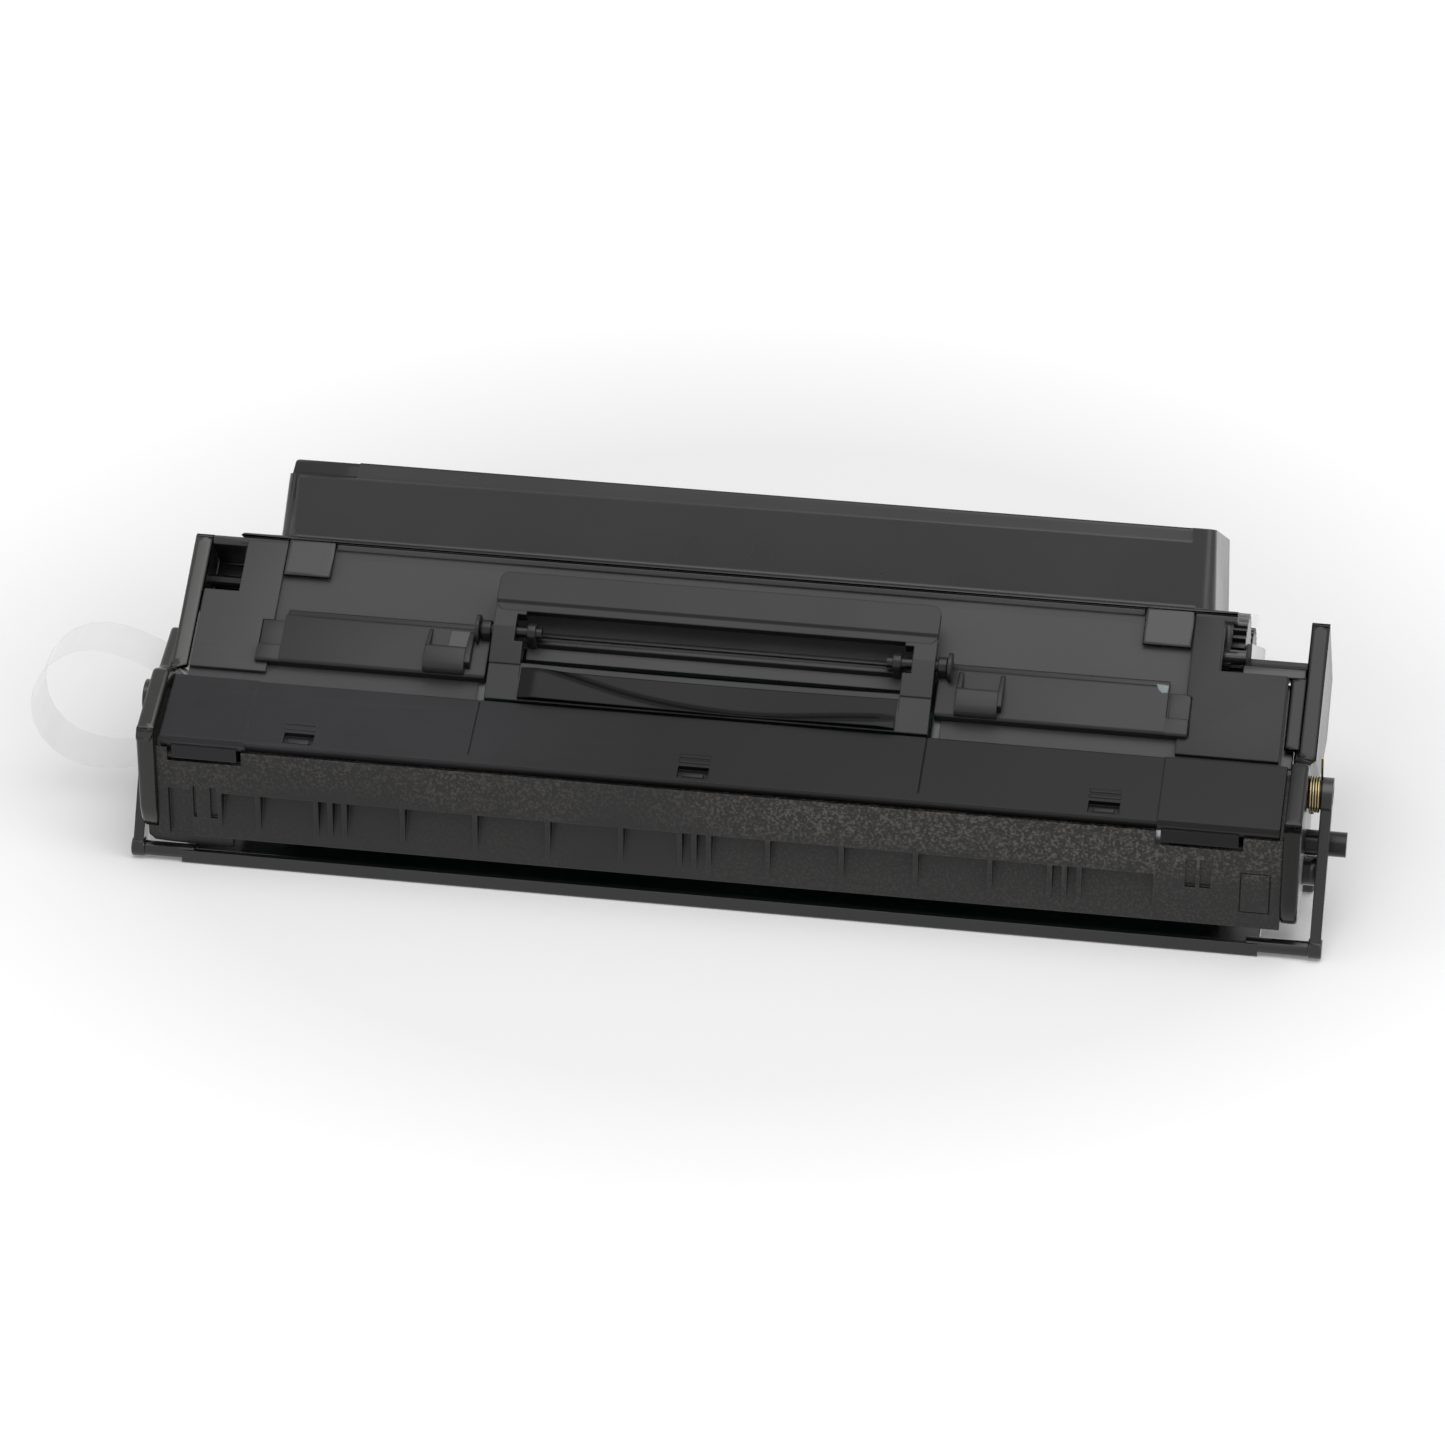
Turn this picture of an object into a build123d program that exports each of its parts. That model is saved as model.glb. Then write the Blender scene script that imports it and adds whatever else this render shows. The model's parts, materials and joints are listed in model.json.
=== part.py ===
"""Laser printer toner cartridge: hopper, developer unit, drum unit, covers, handle and shutter.

Units are millimetres. +X points to the gear side, +Y to the back, +Z up.
The origin is the middle of the flat foot of the hopper, where the cartridge rests.
"""
import os
from math import acos, atan2, cos, degrees, hypot, pi, radians, sin, sqrt, tan

from build123d import *

# Widths, measured from the middle of the drum unit. The developer roller and the blades reach
# working_half to each side, and every other width stands a set distance from that.
working_half = 111.0
cover_half = working_half + 26.9          # waste cover and front wall
front_half = working_half + 24.7          # lower band of the toner frame
column_left = -working_half - 16.0        # end of the sloped front above the notch, left
column_right = working_half + 8.0         # and right
tub_left = -working_half - 7.0            # outer face of the toner tub's left wall
tub_right = working_half + 7.0            # and right wall
flange_left = -working_half - 17.7
flange_right = working_half + 10.8
flange_gear_side = working_half + 8.6     # right edge of the flange where the gears stand
flange_step = 7.0                         # depth of the wider part at the front
lid_left = -working_half - 5.4
lid_right = working_half + 4.9
ledge_left = -working_half - 3.5          # raised ledge across the sloped front
ledge_right = working_half - 1.0

# Walls and general clearances
wall = 2.0
cover_wall = 2.4
flange_wall = 1.3
face_gap = 0.3                # air between pieces that must not rub
running_fit = 0.05            # radial air round a shaft that turns
loose_fit = 0.15              # radial air round a pin that folds
facets = 14                   # sides of hidden rollers, bearings and small bars

# Front wall of the drum unit
front_y = -83.0
front_foot = 8.5
band_low = 21.5
pocket_low = 11.3
pocket_depth = 4.0
rib_wall = 1.3
rib_pitch = 18.2
rib_first = -working_half - 2.8
rib_count = 12
recess_left = -working_half - 12.0
recess_right = working_half - 3.0

# Waste cover, a plate that slopes up towards the back
cover_front = (-82.9, 36.4)
cover_back = (-64.7, 43.5)
window_size = (7.6, 3.4)
window_places = (-working_half + 7.5, -5.3, working_half - 15.9)

# Sloped front of the toner frame: foot of the slope and its angle
slope_foot = (-59.2, 43.1)
slope_angle = 32.3
notch_run = 21.6              # run along the slope where the end notches stop

# Weld flange between toner frame and hopper lid: front edge and tilt to the back
flange_front = (-28.5, 65.0)
flange_tilt = 31.0
flange_depth = 71.0
lid_inset = 1.8
lid_depth = 66.5
lid_height = 18.6
lid_draft = 4.0
lid_bevel = 3.6
lid_bevel_run = 2.6
lid_corner = 5.0
lid_notch_end = lid_left + 18.9         # right end of the stepped corner
lid_notch_drop = 3.9
lid_notch_depth = 9.0
tab_size = (12.0, 8.0)
tab_left = -working_half + 0.7
tab_right = working_half - 5.7

# Flat foot of the hopper
foot_front = -18.6
foot_back = 22.0
tub_back = 31.0

# Drum, rollers and shafts, each as (y, z)
drum_axis = (-59.5, 19.8)
drum_radius = 12.0
drum_wall = 0.75
drum_left = -working_half - 10.0
drum_right = working_half + 7.2
drum_shaft_radius = 3.0
drum_post_radius = 3.1        # free end of the shaft, outside the right end plate
drum_post_length = 9.9
developer_radius = 7.0
supply_radius = 6.7
supply_rise = 12.0            # angle of the supply roller above the developer roller
supply_half = working_half - 2.0
roller_shaft_radius = 3.0
charge_radius = 4.25
charge_shaft_radius = 2.5
charge_half = working_half + 1.0
charge_angle = 140.0

# Gears: module and tooth counts
gear_module = 0.8
drum_teeth = 30
developer_teeth = 18
idler_teeth = 16
supply_teeth = 12
transfer_teeth = 34
agitator_teeth = 40
backlash = 0.12
gear_face = 3.4
gear_left = working_half + 9.2
gear_addendum = 0.8           # share of the module above the pitch circle
gear_dedendum = 1.05          # share of the module below it
stub_radius = 2.0
transfer_angle = 29.0         # direction from idler to transfer gear
agitator_angle = -41.0        # direction from transfer gear to agitator

# Agitator in the hopper
agitator_shaft_radius = 2.5
paddle_reach = 17.0
paddle_half = working_half - 7.0

# End plates: outer and inner face at the left, inner and outer face at the right
upper_plate = (-working_half - 29.4, -working_half - 25.1, working_half + 29.0, working_half + 33.4)
lower_plate = (-working_half - 32.5, -working_half - 28.2, working_half + 27.9, working_half + 32.1)
plate_front = -85.0

# Drum shutter
shutter_axis = (-62.0, 35.0)
shutter_front = -82.6
shutter_lip = 3.3
shutter_half = working_half + 23.0
shutter_wall = 1.6
arm_spans = {"left": (lower_plate[0] - 3.0, lower_plate[0] - face_gap),
             "right": (lower_plate[3] + 3.3, lower_plate[3] + 6.0)}
arm_eye = 4.4                 # radius of the eye of the arm round the pivot
arm_half = 2.2                # half the width of the arm
pivot_pin_radius = 2.4
pivot_boss_radius = 3.6
foot_bar_radius = 2.0
foot_pin_radius = 1.2
spring_radius = 4.2
spring_wire = 0.6
spring_turns = 4
spring_steps = 10

# Carry handle
handle_left = -60.2
handle_right = 49.9
handle_axis = (14.8, 4.4)     # run along the slope and height above it
handle_top = 29.5
handle_foot = -3.6
grip_depth = 9.0
arm_strap = 7.8
handle_pin_radius = 1.5


def yz_face(points, x=0.0):
    """Flat face in a plane across the cartridge, from (y, z) points."""
    return Plane.YZ.offset(x) * make_face(Polyline(*points, close=True))


def prism(points, x0, x1):
    """Straight moulding with the given (y, z) section, from x0 to x1."""
    return extrude(yz_face(points, x0), x1 - x0)


def rod(axis, radius, x0, x1):
    """Round bar along X."""
    return extrude(Plane.YZ.offset(x0) * Pos(*axis) * Circle(radius), x1 - x0)


def faceted_rod(axis, radius, x0, x1):
    """Bar along X with plain facets, for small fixed pieces that nothing turns on."""
    return extrude(Plane.YZ.offset(x0) * Pos(*axis) * RegularPolygon(radius, facets), x1 - x0)


def faceted_hole(axis, radius, x0, x1):
    """Cutter along X with plain facets, in which a bar of the given radius can turn."""
    outline = RegularPolygon(radius, facets, major_radius=False)
    return extrude(Plane.YZ.offset(x0 - 1) * Pos(*axis) * outline, x1 - x0 + 2)


def sleeve(axis, outer, inner, x0, x1):
    """Hidden sleeve along X that sits fast on a faceted core."""
    return faceted_rod(axis, outer, x0, x1) - faceted_rod(axis, inner, x0 - 1, x1 + 1)


def block(x0, x1, y0, y1, z0, z1):
    """Box between two corners."""
    size = (abs(x1 - x0), abs(y1 - y0), abs(z1 - z0))
    return Pos((x0 + x1) / 2, (y0 + y1) / 2, (z0 + z1) / 2) * Box(*size)


def polar(centre, radius, angle):
    """Point (y, z) at a radius and an angle from the +Y direction."""
    a = radians(angle)
    return (centre[0] + radius * cos(a), centre[1] + radius * sin(a))


def arc_points(centre, radius, start, end, steps):
    """Points along an arc in the (y, z) plane, ends included."""
    return [polar(centre, radius, start + (end - start) * i / steps) for i in range(steps + 1)]


def on_slope(run, height):
    """Point (y, z) at a run along the sloped front and a height above it."""
    a = radians(slope_angle)
    return (slope_foot[0] + run * cos(a) - height * sin(a), slope_foot[1] + run * sin(a) + height * cos(a))


def on_flange(run, height):
    """Point (y, z) at a run back along the weld flange and a height above it."""
    a = radians(flange_tilt)
    y, z = flange_front
    return (y + run * cos(a) + height * sin(a), z - run * sin(a) + height * cos(a))


def on_cover(run, height):
    """Point (y, z) at a run back along the waste cover and a height above it."""
    a = atan2(cover_back[1] - cover_front[1], cover_back[0] - cover_front[0])
    return (cover_front[0] + run * cos(a) - height * sin(a), cover_front[1] + run * sin(a) + height * cos(a))


def slope_prism(points, x0, x1):
    """Moulding whose section is given in (run, height) on the sloped front."""
    return prism([on_slope(*p) for p in points], x0, x1)


def flange_prism(points, x0, x1):
    """Moulding whose section is given in (run, height) on the weld flange."""
    return prism([on_flange(*p) for p in points], x0, x1)


def cover_prism(points, x0, x1):
    """Moulding whose section is given in (run, height) on the waste cover."""
    return prism([on_cover(*p) for p in points], x0, x1)


def slope_plane(x, run, height):
    """Plane parallel to the sloped front, its own y direction up along the slope."""
    a = radians(slope_angle)
    return Plane(origin=(x, *on_slope(run, height)), x_dir=(1, 0, 0), z_dir=(0, -sin(a), cos(a)))


def front_recess(x0, x1, z0, z1, depth):
    """Cutter for a flat recess in the front wall."""
    return block(x0, x1, front_y - 1, front_y + depth, z0, z1)


# Places worked out from the sizes above
cover_run = hypot(cover_back[0] - cover_front[0], cover_back[1] - cover_front[1])
drum_pitch = gear_module * drum_teeth / 2
developer_pitch = gear_module * developer_teeth / 2
idler_pitch = gear_module * idler_teeth / 2
supply_pitch = gear_module * supply_teeth / 2
transfer_pitch = gear_module * transfer_teeth / 2
agitator_pitch = gear_module * agitator_teeth / 2
developer_axis = polar(drum_axis, drum_pitch + developer_pitch, 0)
supply_axis = polar(developer_axis, developer_radius + supply_radius + face_gap, supply_rise)
charge_axis = polar(drum_axis, drum_radius + charge_radius + running_fit, charge_angle)


def third_corner(first, second, from_first, from_second):
    """Point above two centres, at given distances from each."""
    base = hypot(second[0] - first[0], second[1] - first[1])
    along = (from_first ** 2 - from_second ** 2 + base ** 2) / (2 * base)
    rise = sqrt(from_first ** 2 - along ** 2)
    turn = degrees(atan2(second[1] - first[1], second[0] - first[0]))
    foot = polar(first, along, turn)
    return polar(foot, rise, turn + 90)


idler_axis = third_corner(developer_axis, supply_axis, developer_pitch + idler_pitch,
                          idler_pitch + supply_pitch)
transfer_axis = polar(idler_axis, idler_pitch + transfer_pitch, transfer_angle)
agitator_axis = polar(transfer_axis, transfer_pitch + agitator_pitch, agitator_angle)


def gear_outline(teeth, turn):
    """Closed outline of an involute spur gear, as (y, z) offsets from its centre."""
    pitch = gear_module * teeth / 2
    base = pitch * cos(radians(20))
    tip = pitch + gear_addendum * gear_module
    root = pitch - gear_dedendum * gear_module
    half_tooth = (pi * gear_module / 2 - backlash) / 2 / pitch
    flare = sqrt((pitch / base) ** 2 - 1) - acos(base / pitch)
    points = []
    for k in range(teeth):
        middle = radians(turn) + 2 * pi * k / teeth
        flank = []
        for radius in (max(base, root), tip):
            roll = sqrt(max((radius / base) ** 2 - 1, 0)) - acos(min(base / radius, 1))
            flank.append((radius, half_tooth + flare - roll))
        root_half, tip_half = flank[0][1], flank[1][1]
        tooth = [(root, -root_half), (tip, -tip_half), (tip, tip_half), (root, root_half)]
        points += [(r * cos(middle + h), r * sin(middle + h)) for r, h in tooth]
    return points


def spur_gear(axis, teeth, turn, bore):
    """Spur gear on an axis along X; the bore is a cutter."""
    outline = [(axis[0] + y, axis[1] + z) for y, z in gear_outline(teeth, turn)]
    return prism(outline, *gear_span) - bore


def mesh_turn(own_teeth, own_axis, other_teeth, other_turn, other_axis):
    """Turn of a gear so that its teeth fall in the gaps of the gear it meets."""
    to_own = degrees(atan2(own_axis[1] - other_axis[1], own_axis[0] - other_axis[0]))
    phase = ((to_own - other_turn) / (360 / other_teeth)) % 1.0
    return to_own + 180 + (phase - 0.5) * (360 / own_teeth)


gear_span = (gear_left, gear_left + gear_face)
drum_turn = 0.0
developer_turn = mesh_turn(developer_teeth, developer_axis, drum_teeth, drum_turn, drum_axis)
idler_turn = mesh_turn(idler_teeth, idler_axis, developer_teeth, developer_turn, developer_axis)
supply_turn = mesh_turn(supply_teeth, supply_axis, idler_teeth, idler_turn, idler_axis)
transfer_turn = mesh_turn(transfer_teeth, transfer_axis, idler_teeth, idler_turn, idler_axis)
agitator_turn = mesh_turn(agitator_teeth, agitator_axis, transfer_teeth, transfer_turn, transfer_axis)


# Places and sizes of the smaller features
mouth_top = on_slope(13.2, -wall)      # front wall of the developer chamber, upper end
mouth_lip = (-45.0, 30.6)              # and its lower lip over the developer roller
chamber_centre = (-53.0, 29.7)         # centre of the curved underside of the chamber
chamber_reach = 25.8
chamber_start = -71.0
chamber_end = -41.0
roller_room = 0.6
bay_run = 12.6                         # bay behind the handle, along the slope
bay_side = 2.5
light_gap_run = -3.4                   # lower edge of the slope; the laser beam passes below it
ledge_run = 1.2                        # lower edge of the ledge
shelf_run = 9.5                        # shelf behind the bay, between the straps of the handle
shield_rise = 2.6
shield_run = 15.0
rail_rise = 1.6
rail_dip = 0.5                         # height of the rail under the straps of the handle
lug_spans = ((handle_left - 3.4, handle_left - 0.4), (handle_left + 8.4, handle_left + 11.4),
             (handle_right - 11.4, handle_right - 8.4), (handle_right + 0.4, handle_right + 3.4))
hook_spans = ((-78.5, -66.5), (56.0, 68.5))
panel_top = 6.5
scoop_radius = 1450.0
scoop_low = 1.2                        # deepest line of the scoop, below the axis of the handle
grip_corner = 2.4
grip_lip = 1.8                         # lip along the lower edge of the grip
strap_neck = 5.6
tab_foot = 27.0
tab_height = 0.6
cover_lip = 2.8
window_set = 1.2
window_depth = 1.5
seam_places = (-61.0, 50.0)
seam = (0.35, 0.4)                     # width and depth of the seams and thin outlines
corner_left = -working_half - 5.5
corner_right = working_half - 2.7
latch_spans = ((-working_half - 25.3, -working_half - 6.6), (working_half - 2.9, working_half + 18.3))
latch_low = 29.8
band_top = cover_front[1] - cover_lip
cover_under = (on_cover(0.6, -cover_lip - 0.1), on_cover(cover_run - 2.0, -cover_lip - 0.1))
boss_ribs = (1, 6, 11)                  # ribs that are doubled, counted from 0 at the left
boss_half = 3.6
front_recesses = ((-working_half - 25.5, -working_half - 19.5, front_foot - 1, 22.0, 1.6),
                  (-working_half - 19.2, -working_half - 18.4, 14.0, 23.0, 0.8),
                  (-working_half - 14.9, -working_half - 13.1, 14.0, 23.0, 1.0),
                  (working_half + 4.6, working_half + 7.2, 18.6, 26.6, 1.0),
                  (working_half + 8.2, working_half + 10.8, 18.6, 26.6, 1.0))
front_panel = (working_half + 17.9, working_half + 25.4, 12.7, 24.0)
bearing_ledges = ((-working_half - 6.5, -working_half - 2.5), (working_half + 2.5, working_half + 6.5))
bearing_half = 3.6
upper_run = 37.2
upper_back = (3.0, 31.0)
foot_rear = -45.0                      # back edge of the feet under the end plates
shutter_lift = 0.3                     # air under the closed shutter
shutter_foot = (shutter_front + foot_bar_radius, shutter_lift + foot_bar_radius)
shutter_reach = 27.7
shutter_back_angle = -87.5
spring_pitch = 0.64
spring_legs = (3.0, 9.0)
spring_turn = 20.0
gear_cover = (gear_span[1] + 1.0, gear_span[1] + 2.2)
gear_cover_posts = ((20.0, 8.0), (-30.0, 53.0))
plug_axis = (-9.0, 38.0)
plug_radius = 8.0
strip_middle = -50.0          # clear film loop of the seal, outside the left end plate
strip_half = 7.0
strip_film = 0.35
strip_points = ((9.5, 43.0), (20.5, 44.0), (29.5, 38.5), (34.5, 28.0), (33.0, 18.5),
                (27.5, 12.4), (19.0, 9.9), (9.0, 11.0))     # distance from the end plate, and height
strip_ends = (38.5, 15.5)
frame_pin_axis = (-31.0, 51.7)
frame_pin_radius = 1.6
screw_places = ((-47.0, 23.0), (-54.0, 32.0))
screw_head = (2.4, 0.9)                # radius and height
guide_boss = (-60.0, 12.0, 3.7, 3.0)   # centre (y, z), radius and height, outside the right end plate
shoulder_face = lower_plate[2] - 2.6    # inner face of the shoulder on the right end plate


def gear_side_relief():
    """Room for the gears beside the weld flange."""
    return flange_prism([(flange_step, -9), (flange_depth + 1, -9), (flange_depth + 1, 9), (flange_step, 9)],
                        flange_gear_side, flange_right + 1)


def toner_frame():
    """Lower moulding of the hopper with the sloped front and the developer chamber."""
    rim_under = on_flange(0.6, -2 * flange_wall)
    rim_run = (rim_under[0] - slope_foot[0]) / cos(radians(slope_angle))
    outer = [rim_under, on_slope(rim_run - 2.0, 0), on_slope(bay_run + 0.4, 0)]
    outer += [on_slope(bay_run + 0.4, -wall), mouth_top, mouth_lip]
    outer += [(mouth_lip[0] + 3.5, mouth_lip[1]), (developer_axis[0] + 2.3, developer_axis[1])]
    outer += [(developer_axis[0] - 0.2, developer_axis[1] - developer_radius - 0.4)]
    outer += arc_points(chamber_centre, chamber_reach, chamber_start, chamber_end, 5)
    outer += [(foot_front, 0), (foot_back, 0), (tub_back, 9.0)]
    outer += [on_flange(flange_depth - 3.5, -2 * flange_wall)]
    body = prism(outer, tub_left, tub_right)
    inner = [on_flange(4.5, 1.0), on_flange(4.5, -4.5), (mouth_top[0] + 7.6, mouth_top[1] + 2.0)]
    inner += [(mouth_lip[0] + 4.0, mouth_lip[1] + 2.4), (mouth_lip[0] + 8.0, mouth_lip[1] - 1.0)]
    inner += [(supply_axis[0] - 7.4, supply_axis[1] + 5.3), (supply_axis[0] - 7.0, supply_axis[1] - 7.5)]
    inner += [(supply_axis[0] - 2.9, supply_axis[1] - 9.7), (foot_front + 1.5, wall), (foot_back - 0.8, wall)]
    inner += [(tub_back - wall, 9.8), on_flange(flange_depth - 6.0, -2.0), on_flange(flange_depth - 6.0, 1.0)]
    body -= prism(inner, tub_left + wall, tub_right - wall)
    body -= rod(developer_axis, developer_radius + roller_room, tub_left + wall, tub_right - wall)
    body -= rod(supply_axis, supply_radius + roller_room, tub_left + wall, tub_right - wall)
    # sloped front: full width below the notches, columns above them
    band = slope_prism([(light_gap_run, 0), (notch_run, 0), (notch_run, -wall), (light_gap_run, -wall)],
                       -front_half, front_half)
    columns = slope_prism([(bay_run, 0), (rim_run, 0), (rim_run + 1.0, -wall), (bay_run, -wall)],
                          column_left, column_right)
    bay_low = light_gap_run - 1.0
    bay = slope_prism([(bay_low, 1), (bay_run, 1), (bay_run, -wall - 1), (bay_low, -wall - 1)],
                      handle_left - bay_side, handle_right + bay_side)
    shelf = slope_prism([(shelf_run, 0), (bay_run, 0), (bay_run, -wall), (shelf_run, -wall)],
                        handle_left + arm_strap + face_gap, handle_right - arm_strap - face_gap)
    body += band + columns - bay + shelf
    # rim that carries the lid
    rim = flange_prism([(0, -2 * flange_wall), (flange_depth, -2 * flange_wall), (flange_depth, -flange_wall),
                        (0, -flange_wall)], flange_left, flange_right)
    rim -= flange_prism([(4.5, -4), (flange_depth - 6, -4), (flange_depth - 6, 1), (4.5, 1)],
                        tub_left + wall, tub_right - wall)
    body += rim - gear_side_relief()
    for middle in (tab_left, tab_right):
        half = tab_size[0] / 2 + face_gap
        body -= slope_prism([(30, tab_height - 0.15), (30, 4), (39, 4), (39, tab_height - 0.15)],
                            middle - half, middle + half)
    for axis, radius in ((developer_axis, roller_shaft_radius), (supply_axis, roller_shaft_radius),
                         (agitator_axis, agitator_shaft_radius)):
        body -= faceted_hole(axis, radius + running_fit, tub_left, tub_right)
    for axis in (idler_axis, transfer_axis):
        body += faceted_rod(axis, stub_radius, tub_right - 0.5, gear_cover[0])
    return body - faceted_hole(plug_axis, plug_radius, tub_left, tub_left + wall)


def hopper_lid():
    """Upper moulding of the hopper, welded on the rim, with a bevelled front edge."""
    plate = flange_prism([(0, -flange_wall), (flange_depth, -flange_wall), (flange_depth, 0), (0, 0)],
                         flange_left, flange_right)
    tilt = Plane(origin=(0, *on_flange(0, 0)), x_dir=(1, 0, 0),
                 z_dir=(0, sin(radians(flange_tilt)), cos(radians(flange_tilt))))
    middle = ((lid_left + lid_right) / 2, lid_inset + lid_depth / 2)
    outline = RectangleRounded(lid_right - lid_left, lid_depth, lid_corner)
    shell = extrude(tilt * Pos(*middle) * outline, lid_height, taper=lid_draft)
    outline = Rectangle(lid_right - lid_left - 2 * wall, lid_depth - 2 * wall)
    hollow = extrude(tilt * Pos(*middle, -flange_wall - 0.1) * outline, lid_height + flange_wall + 0.1 - wall,
                     taper=lid_draft)
    # bevel along the front top edge
    low = lid_height - lid_bevel
    lean = lid_inset + low * tan(radians(lid_draft))
    shell -= flange_prism([(lid_inset - 2, low), (lean, low), (lean + lid_bevel_run, lid_height - 0.25),
                           (lean + lid_bevel_run, lid_height + 1), (lid_inset - 2, lid_height + 1)],
                          lid_notch_end, lid_right - 7)
    # stepped corner at the left
    step = lid_height - lid_notch_drop
    shell -= flange_prism([(-2, step), (lid_notch_depth, step), (lid_notch_depth + 3, lid_height + 2),
                           (-2, lid_height + 2)], lid_left - 5, lid_notch_end)
    hollow -= flange_prism([(-2, step - wall), (lid_notch_depth + wall, step - wall),
                            (lid_notch_depth + wall + 3, lid_height + 2), (-2, lid_height + 2)],
                           lid_left - 5, lid_notch_end + wall)
    lid = plate - gear_side_relief() + shell - hollow
    for centre in (tab_left, tab_right):
        tab = slope_prism([(tab_foot, tab_height), (tab_foot, tab_height + 1.2), (37.0, 1.95), (37.4, 1.6),
                           (36.4, tab_height)], centre - tab_size[0] / 2, centre + tab_size[0] / 2)
        lid += tab
    return lid


def light_shield():
    """Raised ledge across the sloped front, with hooks and the lugs that carry the handle."""
    run, height = handle_axis
    low = ledge_run
    bar = None
    spans = ((ledge_left, handle_left - 3.4), (handle_right + 3.4, ledge_right))
    for x0, x1 in spans:
        piece = slope_prism([(low, 0), (low, shield_rise), (shield_run - 1.8, shield_rise + 0.4),
                             (shield_run, shield_rise - 1.4), (shield_run, 0)], x0, x1)
        tray = slope_prism([(low + 2.2, shield_rise - 0.5), (low + 2.2, shield_rise + 2),
                            (shield_run - 3.2, shield_rise + 2), (shield_run - 3.2, shield_rise - 0.5)],
                           x0 + 6.0, x1 - 6.0)
        bar = piece - tray if bar is None else bar + piece - tray
    rail = slope_prism([(bay_run + 0.2, 0), (bay_run + 0.7, rail_rise), (shield_run - 0.5, rail_rise),
                        (shield_run, 0)], ledge_left + 6, ledge_right - 6)
    for x0 in (handle_left, handle_right - arm_strap):
        rail -= slope_prism([(bay_run - 1, rail_dip), (bay_run - 1, rail_rise + 1),
                             (shield_run + 1, rail_rise + 1), (shield_run + 1, rail_dip)],
                            x0 - face_gap, x0 + arm_strap + face_gap)
    bar += rail
    for x0, x1 in lug_spans:
        lug = slope_prism([(run - 2.0, 0), (run - 2.4, height), (run - 1.2, height + 2.2),
                           (run + 1.4, height + 2.2), (run + 2.6, height), (run + 2.6, 0)], x0, x1)
        bar += lug
    # hooks beside the handle that reach over the lower edge
    for x0, x1 in hook_spans:
        hook = slope_prism([(low + 1.0, 0), (low + 1.0, shield_rise), (low - 1.6, shield_rise + 2.8),
                            (low - 1.6, shield_rise + 4.2), (low + 2.0, shield_rise + 4.6),
                            (shield_run - 4.0, shield_rise + 3.4), (shield_run - 2.5, 0)], x0, x1)
        bar += hook
    return bar - faceted_hole(on_slope(run, height), handle_pin_radius, handle_left - 8, handle_right + 8)


def carry_handle():
    """Fold-out handle: grip bar, two cranked straps and a scooped cross panel."""
    run, height = handle_axis
    grip_low = handle_top - grip_depth
    middle = (handle_left + handle_right) / 2
    edge = grip_low - 1.4
    grip = slope_prism([(edge, height + 0.8), (grip_low, height + 1.6), (handle_top, height + 1.4),
                        (handle_top, height + 3.6), (edge + grip_lip + 0.6, height + 4.0),
                        (edge + grip_lip, height + 3.3), (edge, height + 3.0)], handle_left, handle_right)
    outline = RectangleRounded(handle_right - handle_left, handle_top - edge, grip_corner)
    grip &= extrude(slope_plane(middle, (edge + handle_top) / 2, height) * outline, 6.0)
    panel = slope_prism([(handle_foot, height - 3.2), (handle_foot, height - 1.2), (panel_top, height + 0.4),
                         (panel_top, height - 2.2)], handle_left, handle_right)
    # wide shallow scoop for the fingers, deepest in the middle
    across = slope_plane(middle, handle_foot - 1, height - scoop_low + scoop_radius)
    tunnel = Plane(origin=across.origin, x_dir=(1, 0, 0), z_dir=across.y_dir)
    scoop = extrude(tunnel * Circle(scoop_radius), panel_top - handle_foot + 2)
    reach = slope_prism([(handle_foot - 1, height - 3), (handle_foot - 1, height + 3),
                         (panel_top + 1, height + 3), (panel_top + 1, height - 3)],
                        handle_left + arm_strap, handle_right - arm_strap)
    body = grip + panel - (scoop & reach)
    straps = ((handle_left, handle_left + arm_strap), (handle_right - arm_strap, handle_right))
    for x0, x1 in straps:
        strap = slope_prism([(panel_top - 1.0, height - 1.8), (panel_top - 1.0, height + 0.6),
                             (run - 2.6, height + 2.2), (run, height + 2.8), (grip_low, height + 3.0),
                             (grip_low, height + 1.6), (run + 3.2, height - 0.6), (run + 1.4, height - 2.0),
                             (run - 1.6, height - 2.2)], x0, x1)
        body += strap
    narrow = arm_strap - strap_neck
    for x0, x1 in ((handle_left + arm_strap - narrow, handle_left + arm_strap + 1),
                   (handle_right - arm_strap - 1, handle_right - arm_strap + narrow)):
        body -= slope_prism([(run - 3.6, height - 4), (run - 3.6, height + 5), (run + 3.4, height + 5),
                             (run + 3.4, height - 4)], x0, x1)
    bore = handle_pin_radius + loose_fit
    return body - faceted_hole(on_slope(run, height), bore, handle_left, handle_right)


def handle_pin(side):
    """Steel pin that one strap of the handle turns on."""
    left = (lug_spans[0][0], lug_spans[1][1] + 0.6)
    right = (lug_spans[2][0] - 0.6, lug_spans[3][1])
    return rod(on_slope(*handle_axis), handle_pin_radius, *(left if side == "left" else right))


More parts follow.
